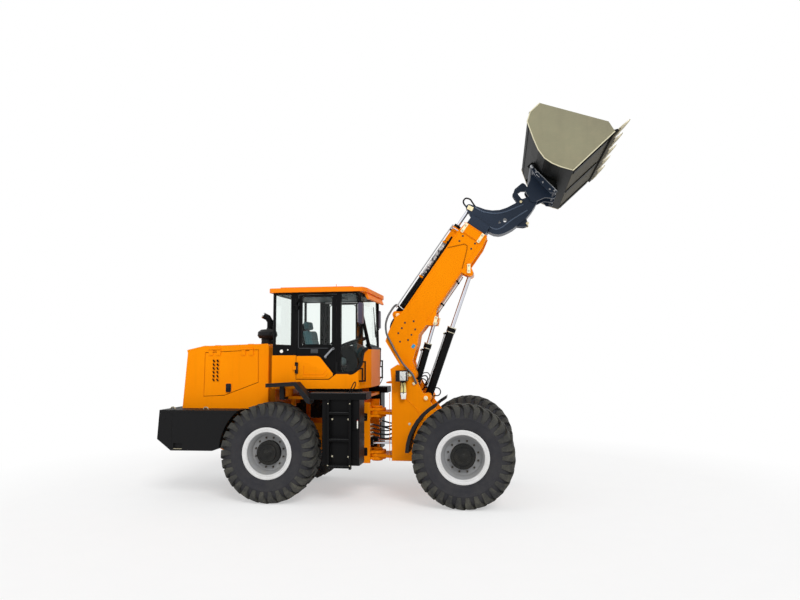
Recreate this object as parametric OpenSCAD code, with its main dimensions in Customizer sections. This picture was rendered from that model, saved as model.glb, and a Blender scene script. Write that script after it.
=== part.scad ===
// Articulated telescopic loader: rear chassis with engine and cab, front chassis
// with the lifting tower, two-section boom, quick coupler and digging bucket.
// Machine axes: X forward, Y left, Z up. Working datum: X = 0 at the front axle,
// Z = 0 on the ground. The whole machine is moved by origin_shift at the end, so
// that its origin is the middle of its footprint.

/* [Wheels and axles] */
// Outer diameter of a tyre
tyre_d = 1350; // [1290:10:1370]
// Width of a tyre
tyre_w = 445; // [400:5:460]
// Distance between the middles of the left and right tyres
track_w = 1705; // [1690:5:1760]
// Distance between the two axles
wheelbase = 2650; // [2640:10:2760]
// Outer diameter of a rim flange
rim_d = 700; // [680:5:720]

/* [Chassis] */
// Width over the tower side plates
tower_w = 660; // [600:10:680]
// Width over the rear frame side plates
frame_w = 770; // [740:10:800]
// Width of the counterweight
counterweight_w = 1940; // [1800:10:2000]
// Width of the engine hood
hood_w = 1240; // [1100:10:1250]

/* [Cab] */
// Width of the cab above the waist
cab_w = 1500; // [1440:10:1540]
// Width of the cab below the waist
cab_low_w = 1560; // [1550:5:1600]
// Height of the roof underside above the ground
cab_top = 2890; // [2800:10:3000]
// Height of the cab underside above the ground
cab_bottom = 1536; // [1530:2:1560]
// Width over the steps and platforms
deck_w = 2000; // [1900:10:2010]

/* [Boom] */
// Angle of the boom above the horizontal as parked
boom_angle = 54.8; // [30:0.1:58]
// Width of the outer boom
boom_w = 380; // [340:10:400]
// Depth of the outer boom box
boom_depth = 391; // [380:1:430]
// Length from the boom pivot to the mouth of the outer boom
boom_len = 2290; // [2200:10:2400]
// How far the inner boom is drawn out as parked
boom_out = 0; // [0:10:1100]

/* [Bucket] */
// Width of the bucket
bucket_w = 2250; // [1800:10:2400]
// Angle of the bucket floor above the horizontal as parked
bucket_angle = 42.2; // [20:0.1:60]
// Thickness of the bucket plates
bucket_t = 22; // [16:1:30]

/* [Fits] */
// Radial play of a pin or rod in its bore
pin_play = 0.5; // [0.3:0.1:0.8]
// Side clearance of parts that swing past each other
side_play = 6; // [5:1:10]

/* [Hidden] */
$fn = 64;

ORANGE = [0.93, 0.50, 0.05];
BLACK = [0.13, 0.13, 0.14];
SLATE = [0.20, 0.25, 0.33];
OLIVE = [0.60, 0.57, 0.46];
CHROME = [0.80, 0.81, 0.83];
GLASS = [0.65, 0.75, 0.78];

wheel_r = tyre_d / 2;
rim_r = rim_d / 2;
wheel_y = track_w / 2;
rear_x = -wheelbase;
hinge_x = -wheelbase / 2;
axle_z = wheel_r;

// ---- points in the side view, [x, z]
boom_pivot = [-785, 1717];
lift_base = [-555, 1385];
level_base = [-725, 1590];

// ---- points in the boom's own side view, [u along the boom, v square to it]
lift_eye = [1705, 140];
level_eye = [810, 172];
box_bottom = 240;
box_top = box_bottom + boom_depth;
plate_t = 22;
tube_gap = 16;
extend_axis = 706;
extend_base_u = 584;
extend_eye_u = 2508;
bucket_pin = [3131, -5];
lever_pin = [2984, 118];
lifting_hole = [2636, 160];

// half width kept free in the middle for the levelling cylinder
centre_gap = 62;

// ---- tilt linkage: lever and coupler arm are equal and parallel
link_arm = 145;
link_arm_angle = 123.4;

// ---- levels of the centre hinge, [bottom of lower fork plate, top of upper one]
hinge_lower = [477, 604];
hinge_upper = [1092, 1219];
fork_t = 36;

// ---- helpers for points and angles
function boom_xz(p, out = 0) = [
    boom_pivot[0] + (p[0] + out) * cos(boom_angle) - p[1] * sin(boom_angle),
    boom_pivot[1] + (p[0] + out) * sin(boom_angle) + p[1] * cos(boom_angle)];
function arc(c, r, a0, a1, n) =
    [for (i = [0:n]) [c[0] + r * cos(a0 + (a1 - a0) * i / n),
                      c[1] + r * sin(a0 + (a1 - a0) * i / n)]];
function angle_of(p, q) = atan2(q[1] - p[1], q[0] - p[0]);

bucket_at = boom_xz(bucket_pin, boom_out);
lever_at = boom_xz(lever_pin, boom_out);
tooth_tip = [1288, -236];
front_reach = bucket_at[0] + tooth_tip[0] * cos(bucket_angle)
    - tooth_tip[1] * sin(bucket_angle);
rear_reach = rear_x - 1647;
origin_shift = -(front_reach + rear_reach) / 2;

// ==== general shapes ====

// the machine's datum moved so that the origin is in the middle of the footprint
module placed() translate([origin_shift, 0, 0]) children();

// a side-view outline [x, z] made solid from y0 to y1
module slab(points, y0, y1)
    translate([0, y1, 0]) rotate([90, 0, 0]) linear_extrude(y1 - y0) polygon(points);

// the same outline on both sides of the middle plane, from |y| = y0 to y1
module both(points, y0, y1) for (s = [-1, 1])
    slab(points, s < 0 ? -y1 : y0, s < 0 ? -y0 : y1);

// a plan outline [x, y] made solid from z0 to z1
module plate(points, z0, z1)
    translate([0, 0, z0]) linear_extrude(z1 - z0) polygon(points);

// a block between two corners
module block(a, b) translate(a) cube(b - a);

// a block and its mirror image across the middle plane
module block2(a, b) {
    block(a, b);
    mirror([0, 1, 0]) block(a, b);
}

// a cylinder along Y at side-view point p, from y0 to y1
module cross(p, r, y0, y1)
    translate([p[0], y1, p[1]]) rotate([90, 0, 0]) cylinder(r = r, h = y1 - y0);

// a cylinder along Y, on both sides of the middle plane
module cross2(p, r, y0, y1) {
    cross(p, r, y0, y1);
    cross(p, r, -y1, -y0);
}

// a cylinder along Z
module post(x, y, r, z0, z1) translate([x, y, z0]) cylinder(r = r, h = z1 - z0);

// a round or square bar between two points in space
module aimed(p, q) {
    d = q - p;
    translate(p) rotate([0, acos(d[2] / norm(d)), atan2(d[1], d[0])]) children();
}
module rod(p, q, r) aimed(p, q) cylinder(r = r, h = norm(q - p));
module bar(p, q, w) aimed(p, q) translate([-w / 2, -w / 2, 0]) cube([w, w, norm(q - p)]);

// children drawn in the boom's own side view, u along X and v along Z
module on_boom(out = 0)
    translate([boom_pivot[0], 0, boom_pivot[1]]) rotate([0, -boom_angle, 0])
        translate([out, 0, 0]) children();

// children drawn in the bucket's own side view, origin at the bucket pin
module on_bucket()
    translate([bucket_at[0], 0, bucket_at[1]]) rotate([0, -bucket_angle, 0]) children();

// ==== hydraulic cylinders, drawn along +X from the base pin ====

module cylinder_barrel(len, r, rod_r, eye_r, eye_w, pin_r) difference() {
    union() {
        cross([0, 0], eye_r, -eye_w / 2, eye_w / 2);
        translate([0, 0, 0]) rotate([0, 90, 0]) cylinder(r = r, h = len);
        translate([len - 70, 0, 0]) rotate([0, 90, 0]) cylinder(r = r + 7, h = 70);
        translate([120, 0, r - 6]) cylinder(r = 16, h = 26);
        translate([len - 110, 0, r - 6]) cylinder(r = 16, h = 26);
    }
    cross([0, 0], pin_r + pin_play, -eye_w, eye_w);
    translate([eye_r + 25, 0, 0]) rotate([0, 90, 0]) cylinder(r = rod_r + pin_play, h = len);
}

module cylinder_rod(eye_at, len, rod_r, eye_r, eye_w, pin_r) difference() {
    union() {
        translate([eye_at - len, 0, 0]) rotate([0, 90, 0]) cylinder(r = rod_r, h = len - eye_r / 2);
        cross([eye_at, 0], eye_r, -eye_w / 2, eye_w / 2);
    }
    cross([eye_at, 0], pin_r + pin_play, -eye_w, eye_w);
}

// ==== wheels ====

// tread, shoulders, side walls and beads as one closed section [radius, offset]
module tyre() {
    h = tyre_w / 2;
    side = [[rim_r - 32, h - 34.5], [rim_r + 2, h - 34.5], [rim_r + 8, h - 16],
            [rim_r + 50, h - 6], [rim_r + 120, h], [rim_r + 210, h - 2],
            [wheel_r - 45, h - 12], [wheel_r - 18, h - 26], [wheel_r - 3, h - 60],
            [wheel_r, h - 110]];
    n = len(side);
    rotate_extrude($fn = 128) polygon(concat(
        side, [for (i = [n - 1:-1:0]) [side[i][0], -side[i][1]]]));
}

// rim barrel, flanges, dished disc and hub; +Z is the outer side
module rim() {
    h = tyre_w / 2 - 34.5;
    rotate_extrude($fn = 128) polygon([
        [60.5, 40], [60.5, 120], [0, 120], [0, 175], [60, 175], [60, 160], [115, 160],
        [115, 140], [165, 140], [165, 66], [245, 66], [258, 150], [rim_r - 66, h + 8],
        [rim_r - 50, h + 14], [rim_r, h + 14], [rim_r, h], [rim_r - 32, h],
        [rim_r - 32, -h], [rim_r, -h], [rim_r, -h - 14], [rim_r - 54, -h - 14],
        [rim_r - 54, 20], [245, 40]]);
}

module at_wheel(x, side)
    translate([x, side * wheel_y, axle_z]) rotate([side > 0 ? -90 : 90, 0, 0]) children();

// axle beam, differential and brake housings, spindles in the hubs
module axle(x) {
    spindle = wheel_y + 119;
    for (s = [-1, 1]) {
        at_wheel(x, s) translate([0, 0, -wheel_y]) cylinder(r = 95, h = wheel_y - 250);
        at_wheel(x, s) translate([0, 0, -260]) cylinder(r = 150, h = 294);
        at_wheel(x, s) cylinder(r = 60, h = spindle - wheel_y);
    }
    translate([x, 0, axle_z]) sphere(r = 205);
}

// ==== rear chassis ====

module fork_plate(z0) {
    x1 = hinge_x;
    difference() {
        union() {
            post(x1, 0, 133, z0, z0 + fork_t);
            plate([[hinge_x - 180, -260], [hinge_x - 30, -130], [hinge_x - 30, 130],
                   [hinge_x - 180, 260]], z0, z0 + fork_t);
        }
        post(x1, 0, 50 + pin_play, z0 - 1, z0 + fork_t + 1);
    }
}

steer_base = [-480, 215];
steer_eye = [330, 180];
steer_z = 730;

module rear_frame() color(ORANGE) placed() difference() {
    half = frame_w / 2;
    t = 40;
    ax = rear_x;
    union() {
        both([[ax - 1250, 1020], [ax - 1250, 760], [ax - 900, 600], [-1640, 600],
              [-1500, 465], [hinge_x - 33, 465], [hinge_x - 33, 1321],
              [-1500, 1321], [-1640, 1020]], half - t, half);
        // hinge bulkhead beams and fork plates
        block([hinge_x - 235, -half + t, 465], [hinge_x - 175, half - t, 630]);
        block([hinge_x - 235, -half + t, 1060], [hinge_x - 175, half - t, 1321]);
        for (z = [hinge_lower[0], hinge_lower[1] - fork_t,
                  hinge_upper[0], hinge_upper[1] - fork_t]) fork_plate(z);
        // cross-member with the steering cylinder lugs
        block([hinge_x - 590, -half + t, 640], [hinge_x - 550, half - t, 820]);
        for (s = [-1, 1], z = [steer_z - 62, steer_z + 36])
            block([hinge_x - 560, s * steer_base[1] - 45, z],
                  [hinge_x - 435, s * steer_base[1] + 45, z + 26]);
        for (s = [-1, 1])
            post(hinge_x + steer_base[0], s * steer_base[1], 25, steer_z - 62, steer_z + 62);
        // hangers that carry the rear axle on its fore and aft trunnions
        for (x = [ax - 330, ax + 280])
            block([x, -half + t, 560], [x + 50, half - t, 940]);
        // platform floor and cab mounting posts
        block([ax + 60, -640, 1380], [hinge_x - 90, 640, 1420]);
        for (x = [ax + 120, hinge_x - 330]) {
            block2([x, half - t, 1010], [x + 60, half, 1380]);
            for (s = [-1, 1]) post(x + 30, s * 560, 55, 1420, cab_bottom);
        }
    }
    // room for the swinging rear axle beam
    cross([ax, axle_z], 185, -half - 1, half + 1);
    block([ax - 185, -half - 1, 400], [ax + 185, half + 1, axle_z]);
    for (s = [-1, 1]) translate([ax, 0, axle_z]) rotate([0, s * 90, 0])
        cylinder(r = 70 + pin_play, h = 331);
}

module rear_axle() color(BLACK) placed() {
    axle(rear_x);
    translate([rear_x - 325, 0, axle_z]) rotate([0, 90, 0]) cylinder(r = 70, h = 650);
}

module counterweight() color(BLACK) placed() difference() {
    w = counterweight_w / 2;
    slab([[rear_x - 1621, 1240], [rear_x - 1647, 834], [rear_x - 1439, 678],
          [rear_x - 822, 683], [rear_x - 691, 740], [rear_x - 400, 1240]], -w, w);
    cross([rear_x, axle_z], wheel_r + 50, -w - 1, w + 1, $fn = 256);
    block([rear_x - 1250, -frame_w / 2, 500], [rear_x, frame_w / 2, 1300]);
    // shallow pockets at the foot and the towing slot with its pin bore
    for (s = [-1, 1])
        block([rear_x - 1400, s * w - 25, 700], [rear_x - 1270, s * w + 25, 780]);
    block([rear_x - 1700, -90, 900], [rear_x - 1500, 90, 990]);
    post(rear_x - 1570, 0, 26, 600, 1300);
}

module engine_block() color(BLACK) placed() {
    half = frame_w / 2 - 40;
    block([rear_x - 1180, -half, 860], [rear_x - 331, half, 1250]);
    block([rear_x - 1080, -260, 1250], [rear_x - 400, 260, 1700]);
}

hood_front = rear_x - 149;
cover_outline = [[rear_x - 1117, 2040], [rear_x - 311, 2079], [rear_x - 304, 1619],
                 [rear_x - 818, 1431], [rear_x - 1126, 1415]];
cover_gap = [[rear_x - 1124, 2048], [rear_x - 303, 2087], [rear_x - 296, 1613],
             [rear_x - 816, 1423], [rear_x - 1134, 1407]];
cover_hinge_y = hood_w / 2 + 12;
cover_hinge_z = 2094;

module engine_hood() color(ORANGE) placed() {
    w = hood_w / 2;
    t = 34;
    difference() {
        union() {
            slab([[rear_x - 1457, 1240], [rear_x - 1392, 2060], [rear_x - 1127, 2135],
                  [rear_x - 161, 2165], [hood_front, 2140], [hood_front, 1240]], -w, w);
            slab([[rear_x - 1400, 2050], [rear_x - 1402, 2086], [rear_x - 1127, 2147],
                  [rear_x - 1127, 2120]], -w, w);
            block([hood_front, -w + 30, 1240], [rear_x - 55, w - 30, 2120]);
        }
        slab([[rear_x - 1422, 1200], [rear_x - 1360, 2032], [rear_x - 1120, 2098],
              [rear_x - 175, 2128], [rear_x - 175, 1200]], -w + t, w - t);
        both(cover_gap, w - t - 1, w + 1);
        // opening for the radiator grille
        block([rear_x - 1500, -430, 1380], [rear_x - 1300, 430, 1960]);
    }
    // fixed hinge knuckles of the side covers
    for (s = [-1, 1], x = [-1000, -500]) {
        translate([rear_x + x, s * cover_hinge_y, cover_hinge_z]) rotate([0, 90, 0])
            cylinder(r = 12, h = 60);
        block([rear_x + x, s > 0 ? w - 2 : -w - 12, cover_hinge_z],
              [rear_x + x + 60, s > 0 ? w + 12 : -w + 2, cover_hinge_z + 20]);
    }
}

module engine_cover(s) color(ORANGE) placed() {
    w = hood_w / 2;
    t = 34;
    slab(cover_outline, s > 0 ? w - t : -w, s > 0 ? w : -w + t);
    for (x = [-1000, -500]) {
        for (k = [-60.6, 60.6]) {
            translate([rear_x + x + k, s * cover_hinge_y, cover_hinge_z]) rotate([0, 90, 0])
                cylinder(r = 12, h = 60);
            block([rear_x + x + k, s > 0 ? w + 2 : -w - 12, cover_hinge_z - 90],
                  [rear_x + x + k + 60, s > 0 ? w + 12 : -w - 2, cover_hinge_z]);
            block([rear_x + x + k, s > 0 ? w - 2 : -w - 12, cover_hinge_z - 90],
                  [rear_x + x + k + 60, s > 0 ? w + 12 : -w + 2, cover_hinge_z - 62]);
        }
    }
    // recessed latch housing
    translate([rear_x - 747, s * (w + 4), 1535]) cube([90, 12, 130], center = true);
}

module radiator_grille() color(BLACK) placed() {
    difference() {
        block([rear_x - 1400, -430, 1380], [rear_x - 1366, 430, 1960]);
        for (k = [0:10]) block([rear_x - 1401, -380, 1420 + k * 47],
                               [rear_x - 1380, 380, 1444 + k * 47]);
    }
}

// everything below the sloping top of the hood
module below_hood_top()
    slab([[rear_x - 1127, 2000], [rear_x - 1127, 2135], [rear_x - 161, 2165],
          [rear_x - 161, 2000]], -hood_w / 2, hood_w / 2);

module air_precleaner() color(BLACK) placed() difference() {
    translate([rear_x - 290, -300, 0]) {
        post(0, 0, 88, 2140, 2255);
        translate([0, 0, 2255]) rotate_extrude() polygon([
            [0, 0], [120, 0], [146, 40], [140, 95], [95, 130], [0, 140]]);
    }
    below_hood_top();
}

// vertical pipe with a rearward mitred bend at the top
module exhaust_stack() color(BLACK) placed() difference() {
    translate([rear_x - 340, -60, 0]) {
        post(0, 0, 46, 2140, 2520);
        translate([0, 0, 2520]) sphere(r = 46.5);
        translate([0, 0, 2520]) rotate([0, -32, 0]) {
            cylinder(r = 46, h = 70);
            translate([0, 0, 70]) sphere(r = 46.5);
            translate([0, 0, 70]) rotate([0, -32, 0]) cylinder(r = 46, h = 80);
        }
    }
    below_hood_top();
}

// ==== cab ====

cab_rear = rear_x - 40;
cab_corner = hinge_x - 115;
nose_x = hinge_x - 20;
nose_w = 340;
waist_z = 2000;
nose_z = 2083;
glass_top = cab_top - 30;
door_x = [rear_x + 316, rear_x + 884];
door_z = [cab_bottom + 132, cab_top - 36];
hinge_levels = [1800, 2700];

// top edge of the panel under the front side window, from the sill to the nose
sill_bend = [rear_x + 1070, 1900];
sill_r = 162;
front_sill = concat([[door_x[1] + 6, sill_bend[1] - sill_r]],
    arc(sill_bend, sill_r, -90, 0, 7),
    [[hinge_x - 80, 2030], [hinge_x - 58, nose_z], [nose_x + 10, nose_z]]);

door_outline = [[door_x[0], door_z[0]], [door_x[1] - 94, door_z[0]],
                [door_x[1], door_z[0] + 72], [door_x[1], door_z[1]],
                [door_x[0], door_z[1]]];
door_opening = [[door_x[0] - 6, door_z[0] - 8], [door_x[1] - 91, door_z[0] - 8],
                [door_x[1] + 6, door_z[0] + 67], [door_x[1] + 6, door_z[1] + 6],
                [door_x[0] - 6, door_z[1] + 6]];

module cab_plan(inset, half) polygon([
    [cab_rear + inset, -half + inset], [cab_corner - inset / 2, -half + inset],
    [nose_x - inset, -nose_w + inset / 3], [nose_x - inset, nose_w - inset / 3],
    [cab_corner - inset / 2, half - inset], [cab_rear + inset, half - inset]]);

// fixed knuckle of a door hinge, from the side wall at |y| = y0
module door_knuckle(y0, z) for (s = [-1, 1]) mirror([0, s > 0 ? 0 : 1, 0]) {
    post(door_x[0] - 3, door_hinge_y, 11, z, z + 50);
    block([door_x[0] - 40, y0, z], [door_x[0] - 3, door_hinge_y + 8, z + 50]);
}

// the lower cab's plan made solid, drawn in by an inset
module cab_prism(inset)
    translate([0, 0, cab_bottom]) linear_extrude(700) cab_plan(inset, cab_low_w / 2);

// everything below the window sills
module below_sill()
    slab(concat([[cab_rear - 1, cab_bottom - 1], [cab_rear - 1, waist_z],
                 [door_x[0] - 6, waist_z], [door_x[0] - 6, 1760]], front_sill,
                [[nose_x + 10, cab_bottom - 1]]), -cab_low_w / 2 - 1, cab_low_w / 2 + 1);

module cab_body() color(ORANGE) placed() {
    half = cab_low_w / 2;
    door_knuckle(half - 2, hinge_levels[0]);
    difference() {
        intersection() {
            difference() {
                cab_prism(0);
                translate([0, 0, 40]) cab_prism(50);
            }
            below_sill();
        }
        both(door_opening, half - 60, half + 1);
    }
}

// the raked front posts; glass beside them is cut with a seal's play around them
module raked_posts(play = 0) for (s = [-1, 1])
    bar([nose_x - 30, s * (nose_w - 25), nose_z - 5],
        [cab_corner - 30, s * (cab_w / 2 - 32), glass_top + 4], 38 + 2 * play);

// posts, waist band, top rails and the raked front posts
module cab_frame() color(BLACK) placed() {
    w = cab_w / 2;
    rail = 60;
    block([cab_rear, -w, glass_top], [cab_rear + 40, w, cab_top]);
    block([cab_corner - 60, -w, glass_top], [cab_corner, w, cab_top]);
    block2([cab_rear, w - rail, glass_top], [cab_corner, w, cab_top]);
    // rear corner posts, door posts and middle posts
    block2([cab_rear, w - 34, waist_z], [cab_rear + 34, w, glass_top]);
    block2([rear_x + 237, w - rail, waist_z], [door_x[0] - 6, w, glass_top]);
    block2([door_x[1] + 6, w - rail, 1738], [door_x[1] + 66, w, glass_top]);
    // waist band behind the doors and across the rear
    block2([cab_rear, w - rail, waist_z], [door_x[0] - 6, w, waist_z + 140]);
    block([cab_rear, -w + rail, waist_z], [cab_rear + 34, w - rail, waist_z + 140]);
    difference() {
        raked_posts();
        block([nose_x - 100, -cab_w / 2, nose_z - 100], [nose_x, cab_w / 2, nose_z]);
    }
    block([nose_x - 50, -nose_w + 10, nose_z], [nose_x, nose_w - 10, nose_z + 34]);
    door_knuckle(w - 2, hinge_levels[1]);
}

module cab_roof() color(ORANGE) placed() {
    w = cab_w / 2 + 50;
    plate([[rear_x - 97, -w + 50], [rear_x - 60, -w], [hinge_x - 60, -w],
           [hinge_x - 20, -w + 140], [hinge_x - 20, w - 140], [hinge_x - 60, w],
           [rear_x - 60, w], [rear_x - 97, w - 50]], cab_top, cab_top + 60);
    plate([[rear_x + 40, -w + 120], [hinge_x - 220, -w + 120],
           [hinge_x - 220, w - 120], [rear_x + 40, w - 120]], cab_top + 60, cab_top + 84);
    // sun visor under the front edge
    slab([[hinge_x - 110, cab_top], [hinge_x - 40, cab_top], [hinge_x - 4, cab_top - 90],
          [hinge_x - 32, cab_top - 96], [hinge_x - 70, cab_top - 20]], -w + 210, w - 210);
}

// side windows, rear window, raked windscreen and the two corner panes
module cab_glass() color(GLASS) placed() {
    w = cab_w / 2;
    g = 8;
    seat = w - 30;
    seal_play = 0.15;
    both([[cab_rear + 34, waist_z + 140], [rear_x + 237, waist_z + 140],
          [rear_x + 237, glass_top], [cab_rear + 34, glass_top]], seat, seat + g);
    difference() {
        both([[door_x[1] + 66, 1700], [cab_corner - 24, 1700], [cab_corner - 24, glass_top],
              [door_x[1] + 66, glass_top]], seat, seat + g);
        below_sill();
        raked_posts(seal_play);
    }
    block([cab_rear + 12, -w + 34, waist_z + 140], [cab_rear + 12 + g, w - 34, glass_top]);
    rise = glass_top - nose_z - 34;
    back = (nose_x - cab_corner) * rise / (glass_top - nose_z);
    lean = atan2(back, rise);
    difference() {
        translate([nose_x - 34, 0, nose_z + 34]) rotate([0, -lean, 0]) rotate([90, 0, 90])
            linear_extrude(g) polygon([[-nose_w + 42, 0], [nose_w - 42, 0],
                [w - 70, rise], [-w + 70, rise]]);
        raked_posts(seal_play);
        block([nose_x - 200, -w, glass_top], [nose_x, w, cab_top]);
    }
    // corner panes stand on the slanted sill, from the side window to the raked post
    slant = atan2(cab_low_w / 2 - nose_w, nose_x - cab_corner);
    difference() {
        for (s = [-1, 1]) mirror([0, s > 0 ? 0 : 1, 0])
            translate([cab_corner - 30, seat + g, 0]) rotate([90, 0, -slant])
                linear_extrude(g) polygon([[0, 1770], [440, 1770], [440, nose_z],
                    [397, nose_z], [16, glass_top], [0, glass_top]]);
        below_sill();
        raked_posts(seal_play);
        both([[cab_corner - 200, 1700], [cab_corner, 1700], [cab_corner, glass_top],
              [cab_corner - 200, glass_top]], seat, seat + g + 1);
    }
}

// squab, back and head rest on a suspension box
module driver_seat() color(BLACK) placed() translate([rear_x + 560, 0, cab_bottom + 40]) {
    block([-190, -170, 0], [150, 170, 260]);
    block([-240, -250, 260], [260, 250, 390]);
    translate([-210, 0, 385]) rotate([0, -12, 0]) block([-60, -240, 0], [70, 240, 560]);
}

// pedestal, column and wheel
module steering_console() color(BLACK) placed()
    translate([hinge_x - 260, 0, cab_bottom + 40]) {
    block([-30, -150, 0], [150, 150, 300]);
    rod([20, 0, 250], [-100, 0, 620], 34);
    translate([-100, 0, 620]) rotate([0, -18, 0]) {
        difference() {
            rotate_extrude() translate([205, 0]) circle(r = 16, $fn = 24);
        }
        cylinder(r = 45, h = 20, center = true);
        for (a = [0, 120, 240]) rotate([0, 90, a]) cylinder(r = 9, h = 200);
    }
}

// ==== platforms, steps and boxes ====

deck_x = [rear_x + 590, hinge_x + 40];

module side_platforms() color(BLACK) placed()
    block2([deck_x[0], 640, 1400], [deck_x[1], deck_w / 2 - 12, 1490]);

module side_boxes() color(BLACK) placed() for (s = [-1, 1]) mirror([0, s > 0 ? 0 : 1, 0]) {
    difference() {
        block([rear_x + 750, 642, 523], [hinge_x - 60, deck_w / 2 - 40, 1400]);
        block([rear_x + 1150, deck_w / 2 - 60, 600], [hinge_x - 90, deck_w / 2 - 30, 1000]);
    }
    // hangers to the frame side plate
    for (x = [rear_x + 800, hinge_x - 220])
        block([x, frame_w / 2, 700], [x + 50, 642, 780]);
}

module side_ladders() color(BLACK) placed() for (s = [-1, 1]) mirror([0, s > 0 ? 0 : 1, 0]) {
    y0 = deck_w / 2 - 40;
    x0 = rear_x + 832;
    for (x = [x0, x0 + 300]) block([x, y0, 480], [x + 28, y0 + 60, 1399]);
    for (z = [495, 850, 1205]) block([x0 + 28, y0, z], [x0 + 300, y0 + 60, z + 26]);
}

module rear_fenders() color(BLACK) placed() for (s = [-1, 1]) mirror([0, s > 0 ? 0 : 1, 0]) {
    slab([[rear_x - 49, 1570], [rear_x - 49, 1604], [rear_x + 381, 1631],
          [rear_x + 585, 1404], [rear_x + 576, 1337], [rear_x + 548, 1350],
          [rear_x + 365, 1590]], cab_low_w / 2 + 4, deck_w / 2);
    block([rear_x + 100, 640, 1385], [rear_x + 160, cab_low_w / 2 + 60, 1415]);
    block([rear_x + 100, cab_low_w / 2 + 10, 1415], [rear_x + 160, cab_low_w / 2 + 60, 1577]);
}

module cab_mirrors() color(BLACK) placed() for (s = [-1, 1]) mirror([0, s > 0 ? 0 : 1, 0]) {
    x = cab_corner - 4;
    y = cab_w / 2;
    z = cab_top - 16;
    rod([x, y, z], [x, y + 101, z], 11);
    rod([x, y + 90, z], [x, y + 90, 2400], 11);
    block([x - 12, y + 20, 2430], [x + 30, y + 160, 2710]);
}

// two upright rails standing off each slanted front corner of the cab
module grab_rails() color(BLACK) placed() difference() {
    slant = (nose_x - cab_corner) / (cab_low_w / 2 - nose_w);
    for (s = [-1, 1], q = [[660, 1905], [750, 1812]]) mirror([0, s > 0 ? 0 : 1, 0]) {
        x = cab_corner + (cab_low_w / 2 - q[0]) * slant;
        rod([x - 20, q[0], 1640], [x + 56, q[0], 1640], 11);
        rod([x + 45, q[0], 1629], [x + 45, q[0], q[1] + 11], 11);
        rod([x + 56, q[0], q[1]], [x - 20, q[0], q[1]], 11);
    }
    cab_prism(0);
}

// ==== cab doors, drawn for the left side (s = 1) and mirrored for the right ====

door_hinge_y = cab_low_w / 2 + 14;

module cab_door() {
    y1 = cab_w / 2;
    difference() {
        union() {
            slab(door_outline, y1 - 44, y1);
            slab([[door_x[0], door_z[0]], [door_x[1] - 94, door_z[0]],
                  [door_x[1] - 34, door_z[0] + 46], [door_x[1] - 34, 1746],
                  [door_x[1] - 236, 1997], [door_x[0], 1997]], y1 - 1, cab_low_w / 2);
        }
        slab([[door_x[0] + 68, 2145], [door_x[1] - 54, 2145], [door_x[1] - 54, door_z[1] - 22],
              [door_x[0] + 68, door_z[1] - 22]], y1 - 50, y1 + 1);
    }
    // hinge knuckles and the outer handle
    for (z = hinge_levels, k = [-50.6, 50.6]) {
        post(door_x[0] - 3, door_hinge_y, 11, z + k, z + k + 50);
        block([door_x[0] - 3, y1 - 2, z + k], [door_x[0] + 30, door_hinge_y + 8, z + k + 50]);
    }
    rod([door_x[1] - 150, y1 + 40, 1975], [door_x[1] - 40, y1 + 40, 2090], 13);
    rod([door_x[1] - 150, y1 - 1, 1975], [door_x[1] - 150, y1 + 50, 1975], 11);
    rod([door_x[1] - 40, y1 - 1, 2090], [door_x[1] - 40, y1 + 50, 2090], 11);
}

module door_glass() {
    y1 = cab_w / 2;
    slab([[door_x[0] + 68, 2145], [door_x[1] - 54, 2145], [door_x[1] - 54, door_z[1] - 22],
          [door_x[0] + 68, door_z[1] - 22]], y1 - 28, y1 - 20);
}

module right_side() mirror([0, 1, 0]) children();

module left_door() color(BLACK) placed() cab_door();
module right_door() color(BLACK) placed() right_side() cab_door();
module left_door_glass() color(GLASS) placed() door_glass();
module right_door_glass() color(GLASS) placed() right_side() door_glass();

// ==== front chassis ====

tower_side = concat(
    [[hinge_x + 274, 497], [hinge_x + 274, 1600], [hinge_x + 256, 1797],
     [hinge_x + 362, 1862]],
    arc(boom_pivot, 72, 75, -20, 4),
    [[lift_base[0] - 40, lift_base[1] + 70]],
    arc(lift_base, 72, 60, -40, 4),
    [[-380, 1180], [-200, 930], [210, 900], [260, 640], [160, 480], [-160, 480],
     [-260, 497]]);

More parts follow.
